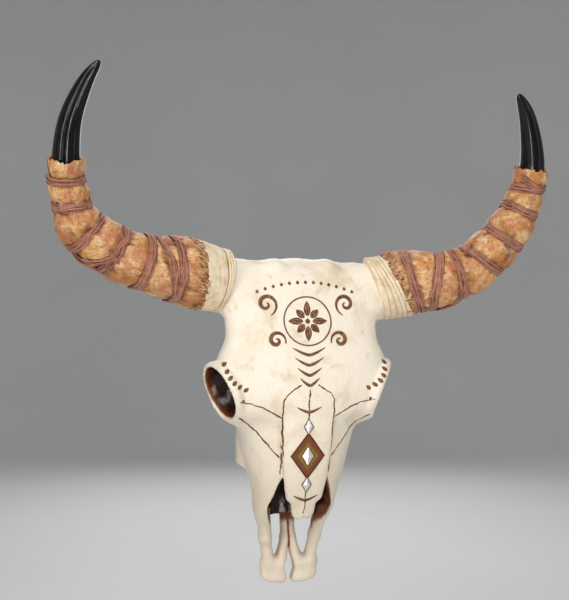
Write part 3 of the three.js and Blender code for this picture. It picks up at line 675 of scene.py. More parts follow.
class Nodes:
    """A material's shader graph, built node by node."""

    def __init__(self, name):
        self.material = bpy.data.materials.new(name)
        self.material.use_nodes = True
        self.tree = self.material.node_tree
        self.surface = self.tree.nodes["Principled BSDF"]

    def add(self, kind, inputs=None, **settings):
        node = self.tree.nodes.new(kind)
        for key, value in settings.items():
            setattr(node, key, value)
        for key, value in (inputs or {}).items():
            if isinstance(value, bpy.types.NodeSocket):
                self.tree.links.new(value, node.inputs[key])
            else:
                node.inputs[key].default_value = value
        return node

    def math(self, operation, a, b=0.0, c=0.0):
        return self.add("ShaderNodeMath", {0: a, 1: b, 2: c}, operation=operation).outputs[0]

    def attribute(self, name):
        return self.add("ShaderNodeAttribute", attribute_name=name).outputs["Fac"]

    def place(self, scale=(1, 1, 1)):
        """Object coordinates in millimetres, stretched by a scale along each axis."""
        coordinates = self.add("ShaderNodeTexCoord").outputs["Object"]
        size = [1000 * s for s in scale]
        return self.add("ShaderNodeMapping", {"Vector": coordinates, "Scale": size}).outputs["Vector"]

    def laid_out(self, around, along, slant=0.0):
        """Places on an unrolled skin in millimetres, each way stretched by a scale."""
        a, b = self.attribute("around"), self.attribute("along")
        x = self.math("MULTIPLY", self.math("MULTIPLY_ADD", b, slant, a), around)
        inputs = {"X": x, "Y": self.math("MULTIPLY", b, along), "Z": 0.0}
        return self.add("ShaderNodeCombineXYZ", inputs).outputs["Vector"]

    def noise(self, vector, size, detail=3.0, roughness=0.5, distortion=0.0):
        inputs = {"Vector": vector, "Scale": 1 / size, "Detail": detail}
        inputs.update({"Roughness": roughness, "Distortion": distortion})
        return self.add("ShaderNodeTexNoise", inputs).outputs["Fac"]

    def between(self, value, low, high, to_low=0.0, to_high=1.0):
        inputs = {0: value, 1: low, 2: high, 3: to_low, 4: to_high}
        return self.add("ShaderNodeMapRange", inputs, interpolation_type="SMOOTHSTEP").outputs[0]

    def mix(self, share, a, b):
        node = self.add("ShaderNodeMix", data_type="RGBA")
        for socket, value in ((node.inputs[0], share), (node.inputs[6], a), (node.inputs[7], b)):
            if isinstance(value, bpy.types.NodeSocket):
                self.tree.links.new(value, socket)
            else:
                socket.default_value = value
        return node.outputs[2]

    def ramp(self, value, stops):
        node = self.add("ShaderNodeValToRGB", {"Fac": value})
        ramp = node.color_ramp
        while len(ramp.elements) < len(stops):
            ramp.elements.new(1.0)
        for element, (position, color) in zip(ramp.elements, stops):
            element.position = position
            element.color = color
        return node.outputs["Color"]

    def bump(self, height, distance_mm, strength):
        inputs = {"Height": height, "Distance": distance_mm * MM, "Strength": strength}
        return self.add("ShaderNodeBump", inputs).outputs["Normal"]

    def finish(self, color, roughness, normal=None, metallic=0.0, coat=0.0, coat_roughness=0.1, specular=0.5):
        inputs = {
            "Base Color": color,
            "Roughness": roughness,
            "Normal": normal,
            "Metallic": metallic,
            "Coat Weight": coat,
            "Coat Roughness": coat_roughness,
            "Specular IOR Level": specular,
        }
        for key, value in inputs.items():
            if isinstance(value, bpy.types.NodeSocket):
                self.tree.links.new(value, self.surface.inputs[key])
            elif value is not None:
                self.surface.inputs[key].default_value = value
        return self.material


def rgb(red, green, blue):
    """A colour as it looks on a screen, from 0 to 255, as the linear colour that a shader takes."""
    shares = (red / 255, green / 255, blue / 255)
    linear = [c / 12.92 if c <= 0.04045 else ((c + 0.055) / 1.055) ** 2.4 for c in shares]
    return (*linear, 1.0)


def bone_material():
    n = Nodes("painted_bone")
    at = n.place()
    stain = n.between(n.noise(at, 38, 4, 0.6, 0.4), 0.5, 0.68)
    smudge = n.between(n.noise(at, 15, 4, 0.62, 0.6), 0.56, 0.76)
    grain = n.noise(n.place((1, 1, 0.22)), 1.6, 3, 0.6)
    color = n.mix(n.math("MULTIPLY", stain, 0.6), rgb(238, 226, 208), rgb(214, 190, 152))
    color = n.mix(n.math("MULTIPLY", smudge, 0.5), color, rgb(196, 168, 128))
    color = n.mix(n.between(grain, 0.35, 0.7, 0.0, 0.14), color, rgb(205, 190, 165))
    # Brown in the skull's hollows, from an occlusion measure: partly the cast's brown recess paint, partly
    # painted shade.
    hollow = n.math("ADD", n.attribute("hollow"), n.math("MULTIPLY_ADD", n.noise(at, 6, 4, 0.6), 0.3, -0.15))
    color = n.mix(n.between(hollow, 0.24, 0.7, 0.0, 0.8), color, rgb(172, 134, 90))
    # Painted shade: the lower face is darker toward the muzzle, as light from above falls off.
    color = n.mix(n.math("MULTIPLY", n.attribute("painted_shade_low"), 0.55), color, rgb(204, 186, 160))
    # The dark brown paint of the eye sockets and airway, with painted shade deeper in the sockets: brown at
    # low values, near black at high ones.
    dark_paint_and_shade = n.math("ADD", n.attribute("dark_paint_and_shade"), n.math("MULTIPLY_ADD", n.noise(at, 5, 4, 0.6), 0.3, -0.15))
    color = n.mix(n.between(dark_paint_and_shade, 0.05, 0.35), color, rgb(128, 68, 32))
    color = n.mix(n.between(dark_paint_and_shade, 0.36, 0.92), color, rgb(38, 12, 5))
    shine = n.between(dark_paint_and_shade, 0.4, 0.8)
    roughness = n.between(shine, 0, 1, 0.42, 0.16)
    height = n.math("MULTIPLY_ADD", n.noise(at, 2.2, 4, 0.65), 0.6, n.math("MULTIPLY", grain, 0.4))
    return n.finish(color, roughness, n.bump(height, 0.35, 0.7), coat=0.08, coat_roughness=0.2, specular=0.3)


def twine_material():
    n = Nodes("linen_binding")
    at = n.place()
    groove = n.attribute("groove")
    fibre = n.noise(n.laid_out(0.06, 1.0), 0.7, 3, 0.6)
    color = n.mix(n.between(n.noise(at, 11, 4, 0.6), 0.42, 0.68), rgb(232, 214, 184), rgb(214, 186, 146))
    color = n.mix(n.between(fibre, 0.5, 0.7, 0.0, 0.4), color, rgb(188, 150, 108))
    color = n.mix(n.between(groove, 0.2, 0.9, 0.0, 0.9), color, rgb(128, 80, 46))
    height = n.math("MULTIPLY_ADD", fibre, 0.8, n.noise(at, 1.4, 3, 0.6))
    return n.finish(color, 0.6, n.bump(height, 0.35, 0.7))


def hide_material():
    n = Nodes("hide_sleeve")
    at = n.place()
    blotch = n.noise(at, 24, 5, 0.6, 0.5)
    browns = [rgb(158, 92, 44), rgb(198, 138, 76), rgb(226, 182, 128), rgb(200, 126, 36)]
    color = n.ramp(blotch, list(zip((0.32, 0.44, 0.55, 0.68), browns)))
    pink = n.between(n.noise(at, 16, 5, 0.62, 0.3), 0.47, 0.62, 0.0, 0.75)
    color = n.mix(pink, color, rgb(190, 112, 82))
    pale = n.between(n.noise(at, 17, 4, 0.6), 0.57, 0.7, 0.0, 0.7)
    color = n.mix(pale, color, rgb(236, 214, 170))
    hair = n.noise(n.laid_out(1.0, 0.16), 0.75, 3, 0.65)
    color = n.mix(n.between(hair, 0.5, 0.64, 0.0, 0.75), color, rgb(124, 64, 32))
    fleck = n.between(n.noise(at, 1.3, 5, 0.7), 0.54, 0.66, 0.0, 0.6)
    color = n.mix(fleck, color, rgb(122, 70, 40))
    # Painted shade in the hide's creases, beside the straps and inside the turned-in lips.
    color = n.mix(n.between(n.attribute("crease_shade"), 0.25, 1.0, 0.0, 0.85), color, rgb(112, 58, 38))
    stitch = n.between(n.noise(n.laid_out(1.0, 0.13, 0.3), 0.75, 1, 0.5), 0.5, 0.58)
    stitch = n.math("MULTIPLY", stitch, n.attribute("fringe"))
    color = n.mix(stitch, color, rgb(92, 50, 30))
    height = n.math("MULTIPLY_ADD", n.noise(at, 1.1, 4, 0.65), 0.5, n.noise(at, 3.6, 4, 0.6))
    height = n.math("MULTIPLY_ADD", hair, 0.5, height)
    height = n.math("MULTIPLY_ADD", stitch, -0.8, height)
    return n.finish(color, 0.44, n.bump(height, 0.8, 0.8), coat=0.08, coat_roughness=0.3, specular=0.35)


def strap_material():
    n = Nodes("strap_cord")
    at = n.place()
    strand = n.attribute("strand")
    color = n.mix(n.between(n.noise(at, 5, 4, 0.6), 0.4, 0.62), rgb(104, 52, 36), rgb(152, 92, 70))
    color = n.mix(n.between(n.noise(at, 9, 3, 0.6), 0.52, 0.68, 0.0, 0.7), color, rgb(172, 112, 86))
    # Painted light: high strand values paint a highlight on the strands' upper sides, low ones paint shade on
    # their undersides.
    color = n.mix(n.between(strand, 0.7, 1.0, 0.0, 0.55), color, rgb(202, 146, 120))
    color = n.mix(n.between(strand, 0.6, 0.2, 0.0, 0.95), color, rgb(60, 24, 14))
    fibre = n.noise(n.place((1, 1, 2.5)), 0.9, 4, 0.7, 0.6)
    color = n.mix(n.between(fibre, 0.52, 0.68, 0.0, 0.5), color, rgb(88, 44, 28))
    return n.finish(color, 0.42, n.bump(fibre, 0.5, 0.9), coat=0.08, coat_roughness=0.3, specular=0.35)


def paint_material():
    """Brown paint on the raised ornament: darker edges, streaks and worn spots."""
    n = Nodes("brown_paint")
    at = n.place()
    lowered = n.math("SUBTRACT", n.attribute("tone"), 0.25)
    tone = n.math("MULTIPLY_ADD", n.noise(at, 1.2, 4, 0.6), 0.5, lowered)
    browns = [rgb(42, 22, 12), rgb(76, 45, 27), rgb(110, 72, 45), rgb(164, 122, 84)]
    color = n.ramp(tone, list(zip((0.05, 0.35, 0.7, 1.0), browns)))
    color = n.mix(n.between(n.noise(at, 6, 3, 0.6), 0.45, 0.75, 0.0, 0.5), color, rgb(104, 40, 20))
    return n.finish(color, 0.5, n.bump(n.noise(at, 0.7, 4, 0.6), 0.2, 0.7), specular=0.2)


def line_material():
    n = Nodes("dark_line")
    at = n.place()
    color = n.mix(n.between(n.noise(at, 2.5, 4, 0.6), 0.35, 0.65), rgb(60, 32, 16), rgb(126, 84, 50))
    color = n.mix(n.between(n.noise(at, 7, 3, 0.6), 0.6, 0.8, 0.0, 0.7), color, rgb(170, 130, 92))
    return n.finish(color, 0.6, n.bump(n.noise(at, 0.6, 4, 0.6), 0.2, 0.6), specular=0.2)


def panel_material():
    """Rust brown at the edge of the panel, going over to olive gold in its middle."""
    n = Nodes("panel_paint")
    at = n.place()
    lowered = n.math("SUBTRACT", n.attribute("tone"), 0.12)
    tone = n.math("MULTIPLY_ADD", n.noise(at, 1.6, 4, 0.65), 0.24, lowered)
    rusts = [rgb(50, 22, 10), rgb(116, 62, 30), rgb(108, 68, 24)]
    golds = [rgb(138, 110, 44), rgb(78, 60, 24), rgb(100, 88, 50)]
    color = n.ramp(tone, list(zip((0.0, 0.22, 0.46, 0.6, 0.72, 0.95), rusts + golds)))
    return n.finish(color, 0.5, n.bump(n.noise(at, 0.6, 4, 0.6), 0.25, 0.7), specular=0.2)


def tip_material():
    n = Nodes("black_horn_tip")
    at = n.place()
    streak = n.noise(n.place((1, 1, 0.08)), 2.2, 4, 0.6)
    color = n.mix(n.between(streak, 0.5, 0.75), rgb(4, 4, 5), rgb(20, 18, 18))
    roughness = n.between(n.noise(at, 5, 3), 0.3, 0.7, 0.1, 0.2)
    relief = n.bump(streak, 0.15, 0.35)
    return n.finish(color, roughness, relief, coat=0.14, coat_roughness=0.06, specular=0.3)


def silver_material():
    n = Nodes("bright_silver")
    at = n.place()
    worn = n.noise(at, 0.8, 4, 0.6)
    color = n.mix(n.between(worn, 0.5, 0.75), rgb(246, 246, 244), rgb(176, 174, 172))
    return n.finish(color, n.between(worn, 0.3, 0.7, 0.24, 0.42), n.bump(worn, 0.1, 0.5), metallic=1.0)


def steel_material():
    n = Nodes("plated_steel")
    at = n.place()
    brushed = n.noise(n.place((0.1, 1, 1)), 0.5, 4, 0.6)
    color = n.mix(n.between(n.noise(at, 4, 3), 0.4, 0.7), rgb(176, 178, 180), rgb(140, 141, 143))
    return n.finish(color, n.between(brushed, 0.3, 0.7, 0.26, 0.42), n.bump(brushed, 0.08, 0.5), metallic=1.0)


# ---- Pieces ----


def skull_piece():
    """The skull as one mesh: its hollows browned as the cast's recess paint and as painted shade, dark paint
    in the eye sockets and airway with painted shade deeper in the sockets, and painted shade darkening the
    lower face. Returns it for laying things on.
    """
    fine = 1.3 if FINE else 2.4
    half = grid_line(fine / 2, 120, lambda x: fine if x < 62 else 1.5 * fine)
    lines = [
        np.concatenate([-half[::-1], half]),
        grid_line(-134, 3, lambda y: 1.35 * fine),
        grid_line(-298, 66, lambda z: fine),
    ]
    x, y, z = half[:, None, None], lines[1][None, :, None], lines[2][None, None, :]
    right = half_skull(x, y, z)
    values = np.concatenate([right[::-1], right])
    values = with_horn_roots(values, lines[0][:, None, None], y, z)
    values = flat_at_wall(values, lines[0][:, None, None], y, z)
    points, quads, box = surface_of(values, lines)
    points = settle(skull_field, points, box)
    normals = unit(gradient(skull_field, points))
    wall = smoothstep(-1.5, -4, points[:, 1])
    lumps = 0.45 * rumple(points, 21, 11) + 0.12 * rumple(points, 5, 21)
    points = points + normals * (lumps * wall)[:, None]
    x, y, z = points.T
    # How shut in each point is, from the field a little way out: recess paint and painted shade in the
    # hollows.
    hollow = np.zeros(len(points))
    for reach in (3, 7, 14):
        away = skull_field(*(points + normals * reach).T)
        hollow += np.clip(1 - away / reach, 0, 1) / 3
    inner = np.abs(x)
    socket = smoothstep(1.2, 0.3, orbit_socket(inner, y, z))
    depth = orbit_frame(inner, y, z)[0]
    # Painted shade: the socket paint is browner near its mouth and darker deeper in.
    socket = socket * smoothstep(4, 1, depth) * (0.66 + 0.34 * smoothstep(2, -10, depth))
    nose = smoothstep(1.6, 0.2, airway(inner, y, z)) * smoothstep(-242, -216, z)
    bars = smoothstep(13, 9, inner) * smoothstep(-206, -238, z)
    front = smoothstep(0, 34, y - station(FACE_FRONT_Y, z))
    nose = nose * (1 - bars) * front
    joint = 0.5 * smoothstep(1.6, 0.4, inner) * smoothstep(-257, -250, z) * smoothstep(-205, -215, z)
    dark_paint_and_shade = np.clip(np.maximum(np.maximum(socket, nose), joint), 0, 1)
    # Painted shade, growing toward the muzzle.
    painted_shade_low = smoothstep(-70, -210, z)
    piece = add_mesh("bull_skull", points, quads, {"hollow": hollow, "dark_paint_and_shade": dark_paint_and_shade, "painted_shade_low": painted_shade_low})
    place(piece, "bone_resin", bone_material(), "skull")
    return BVHTree.FromPolygons(points.tolist(), quads.tolist())


def smooth_line(points, step):
    """Evenly spaced points along a smooth curve through points."""
    p = np.array(points, float)
    p = np.vstack([2 * p[0] - p[1], p, 2 * p[-1] - p[-2]])
    t = np.linspace(0, 1, 12, endpoint=False)[:, None]
    dense = []
    for a, b, c, d in zip(p, p[1:], p[2:], p[3:]):
        square = a - 2.5 * b + 2 * c - d / 2
        cubic = 1.5 * (b - c) + (d - a) / 2
        dense.append(b + t * (c - a) / 2 + t**2 * square + t**3 * cubic)
    dense = np.vstack([*dense, p[-2:-1]])
    length = np.concatenate([[0], np.cumsum(np.linalg.norm(np.diff(dense[:, :2], axis=0), axis=1))])
    at = np.linspace(0, length[-1], max(int(length[-1] / step), 3))
    return np.stack([np.interp(at, length, dense[:, k]) for k in range(dense.shape[1])], 1)


def laid(ground, flat, lift):
    """Points at (x, z) on the front of the skull, raised by a height."""
    points = []
    for (x, z), height in zip(flat, lift):
        hit, normal, _, _ = ground.ray_cast(Vector((x, -220, z)), Vector((0, 1, 0)), 190)
        if hit is None:
            hit, normal, _, _ = ground.find_nearest(Vector((x, -90, z)))
        points.append(hit + normal * height)
    return np.array(points)


def outward(points, faces):
    """The faces of a closed skin, turned to face outward."""
    total = 0.0
    for face in faces:
        a = points[face[0]]
        for i, j in zip(face[1:], face[2:]):
            total += a @ np.cross(points[i], points[j])
    return faces if total > 0 else [f[::-1] for f in faces]


STRIP = [  # across a raised strip: offset, height and tone
    (-0.5, -0.35, 0),
    (-0.42, 0.45, 0.2),
    (-0.22, 1, 1),
    (0, 0.8, 0.45),
    (0.22, 1, 1),
    (0.42, 0.45, 0.2),
    (0.5, -0.35, 0),
]
STRIP_SUNK = -0.3
STRIP_BACK = [(0.4, -0.8, 0), (-0.4, -0.8, 0)]


def strip(ground, line, height):
    """A raised strip along (x, z, width) points; its edges and its back are sunk in the bone."""
    line = np.asarray(line, float)
    along = unit(np.gradient(line[:, :2], axis=0))
    across = np.stack([-along[:, 1], along[:, 0]], 1)
    profile = [(side, lift * height if lift > 0 else STRIP_SUNK, tone) for side, lift, tone in STRIP]
    profile += STRIP_BACK
    sides = len(profile)
    offset, lift, tone = (np.array(column) for column in zip(*profile))
    flat = line[:, None, :2] + across[:, None, :] * (offset[None, :] * line[:, None, 2])[..., None]
    points = laid(ground, flat.reshape(-1, 2), np.tile(lift, len(line)))
    streak = 0.3 * noise(stack(flat[..., 0], flat[..., 1], 0 * flat[..., 0]), 1.6, 17)
    faces = tube_faces(len(line), sides)
    return points, outward(points, faces), np.clip(tone[None, :] + streak, 0, 1).ravel()


def spindle(ground, shape, height, bend=0.0):
    """A strip pointed at both ends, from (x, z) to (x, z) with a width, that bows to one side."""
    x0, z0, x1, z1, width = shape
    t = np.linspace(0, 1, 14)
    dx, dz = x1 - x0, z1 - z0
    bow = bend * np.sin(np.pi * t)
    outline = width * np.maximum(np.sin(np.pi * t**0.85), 0) ** 0.8 + 0.25
    return strip(ground, np.stack([x0 + dx * t - dz * bow, z0 + dz * t + dx * bow, outline], 1), height)


def both_sides(line):
    """A line of (x, z, ...) right of the middle, and its mirror image."""
    return [line, [(-x, *rest) for x, *rest in line]]


def suture_strips(ground):
    """The joints between the bones as thin, wandering lines, and the pits on the middle one."""
    parts = []
    lines = [MIDDLE_SUTURE] + [line for side in SIDE_SUTURES for line in both_sides(side)]
    for k, points in enumerate(lines):
        line = smooth_line([(x, z, 1) for x, z in points], 0.7)
        place_on = stack(line[:, 0], line[:, 1], 0 * line[:, 0])
        line[:, 0] += 0.55 * rumple(place_on, 3.4, 300 + k, 2)
        line[:, 1] += 0.55 * rumple(place_on, 3.4, 340 + k, 2)
        line[:, 2] = 1.5 + 0.6 * noise(place_on, 2.6, 380 + k)
        parts.append(strip(ground, line, 0.1))
    size = SUTURE_PITS["size"]
    for k in range(SUTURE_PITS["count"]):
        z = SUTURE_PITS["top"] - k * SUTURE_PITS["apart"]
        parts.append(spindle(ground, (0, z - size / 2, 0, z + size / 2, 0.8 * size), 0.15, 0.12))
    return [(p, f, 0.35 * v) for p, f, v in parts]


def star(ground):
    """Pointed rays round a middle, inside a thin ring."""
    x, z = STAR["at"]
    ring, dot = STAR["ring"], STAR["dot"]
    parts = []
    for k in range(STAR["rays"]):
        turn = 2 * math.pi * k / STAR["rays"]
        dx, dz = math.sin(turn), math.cos(turn)
        inner, outer = STAR["inner"], STAR["outer"] * (1 if k % 2 == 0 else STAR["short_share"])
        ray = (x + inner * dx, z + inner * dz, x + outer * dx, z + outer * dz, STAR["width"])
        parts.append(spindle(ground, ray, 0.7))
    for start in (0, math.pi):
        angle = start + np.linspace(0, math.pi, 90)
        line = stack(x + ring * np.cos(angle), z + ring * np.sin(angle), 0 * angle + STAR["ring_width"])
        parts.append(strip(ground, line, 0.5))
    parts.append(spindle(ground, (x, z - dot / 2, x, z + dot / 2, STAR["dot_width"]), 0.6))
    return parts


def scrolls(ground):
    """Spirals that widen in the middle of their length, on both sides."""
    parts = []
    thin, thick = SCROLL_WIDTH
    for scroll in SCROLLS:
        t = np.linspace(0, 1, 110)
        angle = np.radians(scroll["end"]) - 2 * math.pi * scroll["turns"] * (1 - t)
        radius = scroll["size"] * (0.1 + 0.9 * t**1.2)
        x = scroll["at"][0] + radius * np.cos(angle)
        z = scroll["at"][1] + radius * np.sin(angle)
        width = thin + (thick - thin) * np.sin(np.pi * t**1.3)
        for side in (1, -1):
            parts.append(strip(ground, stack(side * x, z, width), 0.6))
    return parts


def arch(ground):
    """A row of dots over the brow."""
    parts = []
    half = ARCH["size"] / 2
    for share in np.linspace(-1, 1, ARCH["dots"]):
        x, z = share * ARCH["half_width"], ARCH["top"] - ARCH["drop"] * share**2
        parts.append(spindle(ground, (x, z - half, x, z + half, 0.9 * ARCH["size"]), 0.5))
    return parts


def chevron(ground, z, half_width, rise, width):
    """Two arms that meet in the middle and rise to the sides."""
    t = np.linspace(0, 1, 26)
    parts = []
    for side in (1, -1):
        arm = stack(side * half_width * t, z + rise * t**1.4, width * (1 - 0.8 * t**2))
        parts.append(strip(ground, arm, 0.5))
    return parts


def chevrons(ground):
    """A column of chevrons that narrows downward between the eyes, and two bars on the nose."""
    parts = []
    for k in range(CHEVRONS["count"]):
        half_width = CHEVRONS["half_width"] - k * CHEVRONS["taper"]
        z = CHEVRONS["top"] - k * CHEVRONS["apart"]
        parts += chevron(ground, z, half_width, CHEVRONS["rise"], CHEVRONS["width"])
    for z in NOSE_BARS["heights"]:
        parts += chevron(ground, z, NOSE_BARS["half_width"], NOSE_BARS["rise"], NOSE_BARS["width"])
    return parts


def eye_rows(ground):
    """A bowed row of small pointed strokes beside each eye."""
    (x0, z0), (x1, z1) = EYE_ROW["from"], EYE_ROW["to"]
    size = math.hypot(x1 - x0, z1 - z0)
    dx, dz = (x1 - x0) / size, (z1 - z0) / size
    parts = []
    for share in np.linspace(0, 1, EYE_ROW["count"]):
        bow = EYE_ROW["bow"] * math.sin(math.pi * share)
        x, z = x0 + share * (x1 - x0) - dz * bow, z0 + share * (z1 - z0) + dx * bow
        reach = EYE_ROW["length"] / 2
        for side in (1, -1):
            ends = (side * (x - dz * reach), z + dx * reach, side * (x + dz * reach), z - dx * reach)
            parts.append(spindle(ground, (*ends, EYE_ROW["width"]), 0.45))
    return parts


LOZENGE_BACK = [(1, -0.3, 0), (0.9, -0.9, 0), (0.02, -0.9, 0)]  # sunk rings, as (share, height, tone)


def lozenge(ground, at, half_width, half_height, profile, shades):
    """A raised lozenge with sharp corners; profile and shades give height and tone from middle to edge."""
    sides = 96
    angle = np.linspace(0, 2 * np.pi, sides, endpoint=False)
    edge = 1 / (np.abs(np.cos(angle)) / half_width + np.abs(np.sin(angle)) / half_height)
    flat, lift, tone = [], [], []
    rings = [(share, station(profile, share), station(shades, share)) for share in np.linspace(0.02, 1, 14)]
    for share, height, shade in rings + LOZENGE_BACK:
        flat.append(np.stack([share * edge * np.cos(angle), share * edge * np.sin(angle)], 1))
        lift.append(np.full(sides, float(height)))
        tone.append(np.full(sides, float(shade)))
    points = laid(ground, np.vstack(flat) + np.array(at), np.concatenate(lift))
    return points, outward(points, tube_faces(len(flat), sides)), np.concatenate(tone)


def sleeve_radius(t):
    return station(SLEEVE_RADIUS, t)


def strap_share(horn, turn):
    """The share of the sleeve at which the strap lies, for a number of turns from its start."""
    bends = np.array(horn["wraps"]).ravel()
    half = np.clip(np.floor(turn * 2).astype(int), 0, len(bends) - 2)
    t = (1 - np.cos((turn * 2 - half) * np.pi)) / 2
    return bends[half] + (bends[half + 1] - bends[half]) * t


def strap_gap(horn, t, angle, length):
    """Millimetres along the horn from a place on the sleeve to the nearest round of the strap."""
    gaps = []
    for wrap in range(len(horn["wraps"])):
        turn = wrap + (angle / (2 * np.pi)) % 1
        on = turn <= len(horn["wraps"]) - 0.5
        gaps.append(np.where(on, np.abs(t - strap_share(horn, turn)) * length, 99))
    return np.min(gaps, axis=0)


def sleeve_relief(horn, t, angle, length, seed):
    """The height of the hide over its plain radius, and its painted crease shade: darker in the hollows of
    its folds and lumps and where a strap squeezes it.
    """
    radius = sleeve_radius(t)
    place_on = stack(t * length, radius * np.cos(angle), radius * np.sin(angle))
    gap = strap_gap(horn, t, angle, length)
    squeeze = smoothstep(11, 2.5, gap)
    puff = 1.3 * smoothstep(3, 10, gap)
    stretched = place_on * (0.35, 1, 1)
    folds = rumple(stretched, 5.5, seed + 40)
    lumps = 1.1 * rumple(place_on, 17, seed) + 0.45 * rumple(place_on, 5, seed + 10)
    height = lumps + puff - 1.1 * squeeze + (0.3 + 0.75 * squeeze) * folds
    return height, np.clip(0.5 * squeeze - 0.6 * folds - 0.25 * lumps, 0, 1)


def sleeve_piece(name, horn, seed):
    """The hide round a horn, an open tube with a thin turned-in lip at each end."""
    _, _, whole, start, end = horn_curve(horn)
    length = (end - start) * whole
    rows, sides = (300, 220) if FINE else (140, 110)
    angle = np.linspace(-0.5 * np.pi, 1.5 * np.pi, sides, endpoint=False)
    edge = stack(0, SLEEVE_ROOT * np.cos(angle), SLEEVE_ROOT * np.sin(angle))
    first = -1.2 + 1.1 * rumple(edge, 9, seed + 70)
    last = 0.6 + 2.2 * rumple(0.5 * edge, 3.6, seed + 80)
    last = last + 3 * smoothstep(0.75, 1.0, np.cos(angle - 0.7)) + 0.9 * noise(edge, 2.8, seed + 81)
    s = np.linspace(0, 1, rows)[:, None]
    along = first * (1 - s) + (length + last) * s
    t = along / length
    turned = np.broadcast_to(angle, t.shape)
    height, crease_shade = sleeve_relief(horn, np.clip(t, 0, 1), turned, length, seed)
    around = turned * SLEEVE_ROOT
    reach = 12 + 3 * noise(stack(around, 0 * around, 0 * around), 5, seed + 6)
    fringe = smoothstep(reach, reach - 5, along)
    sway = 2 * noise(stack(around, along, 0 * along), 5, seed + 5)
    ridge = np.sin(np.pi * (around + 0.4 * along) / 2.4 + sway)
    radius = sleeve_radius(np.clip(t, 0, 1)) + height + 0.35 * fringe * ridge
    radius = radius + 0.5 * smoothstep(length - 5, length + 5, along)
    share = start + t * (end - start)
    skin = horn_points(horn_frames(horn, share), radius, turned)
    level = np.ones(sides)
    inner_first = horn_points(horn_frames(horn, share[0]), radius[0] - SLEEVE_LIP, angle)
    deep = horn_frames(horn, (start + 4 / whole) * level)
    deep_first = horn_points(deep, radius[0] - SLEEVE_LIP - 0.5, angle)
    inner_last = horn_points(horn_frames(horn, share[-1]), radius[-1] - SLEEVE_LIP, angle)
    deep_last = horn_points(horn_frames(horn, (end - 6 / whole) * level), (TIP_RADIUS + 0.4) * level, angle)
    points = np.vstack([deep_first, inner_first, skin.reshape(-1, 3), inner_last, deep_last])
    attributes = {}
    # The painted crease shade is full on the turned-in lips, which lie inside the sleeve.
    skins = {"crease_shade": (crease_shade, 1, 1), "fringe": (fringe, 0, 0), "around": (around, 0, 0), "along": (along, 0, 1)}
    for key, (values, low, high) in skins.items():
        first_rings, last_rings = [low * level, 0.6 * low * level], [0.6 * high * level, high * level]
        attributes[key] = np.concatenate([*first_rings, values.ravel(), *last_rings])
    faces = tube_faces(rows + 4, sides)
    return add_mesh(name, points, outward(points, faces), attributes)


def binding_piece(name, horn, seed):
    """The rounds of twine between the skull and the sleeve."""
    _, _, whole, start, _ = horn_curve(horn)
    length = start * whole
    rows, sides = (150, 260) if FINE else (70, 120)
    angle = np.linspace(-0.5 * np.pi, 1.5 * np.pi, sides, endpoint=False)
    s = np.linspace(0, 1, rows)[:, None]
    along = s * (length + 1.5) - 2.2 * (1 - s)
    turned = np.broadcast_to(angle, (rows, sides))
    wander = 1.3 * noise(stack(12 * np.cos(turned), 12 * np.sin(turned), along / 8), 9, seed)
    rounds = np.array(horn["rounds"]) * (length / 20)
    position = along + wander
    lower = np.searchsorted(rounds, position, side="right") - 1
    lower = np.clip(lower, 0, len(rounds) - 2)
    inside = (position - rounds[lower]) / (rounds[lower + 1] - rounds[lower])
    crown = np.sqrt(np.maximum(1 - np.abs(2 * np.clip(inside, 0, 1) - 1) ** 5, 0))
    fibre = rumple(stack(turned * 1.4, position, 0 * position), 1.3, seed + 3, 2)
    base = horn["root_radius"] + (SLEEVE_ROOT - horn["root_radius"]) * np.clip(along / length, 0, 1)
    skin = stack(along, SLEEVE_ROOT * np.cos(turned), SLEEVE_ROOT * np.sin(turned))
    lumps = 0.6 * rumple(skin, 14, seed + 9)
    radius = base + 1.8 * crown - 0.6 + 0.14 * fibre + lumps
    radius = radius - 3.0 * smoothstep(0, -2.2, along)
    groove = np.clip(1 - crown - 0.1 * fibre, 0, 1)
    share = np.clip(along / whole, 0, 1)
    points = horn_points(horn_frames(horn, share), radius, turned, np.minimum(along, 0)).reshape(-1, 3)
    attributes = {
        "groove": groove.ravel(),
        "around": (turned * SLEEVE_ROOT).ravel(),
        "along": (along + 0 * turned).ravel(),
    }
    return add_mesh(name, points, outward(points, tube_faces(rows, sides)), attributes)


STRANDS = [  # of each strap, as (offset, width, how far it strays, lift)
    (-3.4, 1.9, 1.0, 0.0),
    (-2.0, 2.2, 1.3, 0.35),
    (-0.6, 2.0, 1.4, 0.0),
    (0.8, 2.3, 1.3, 0.4),
    (2.2, 2.0, 1.4, 0.1),
    (3.5, 1.8, 1.1, 0.0),
    (0.4, 1.5, 3.6, 0.7),
]


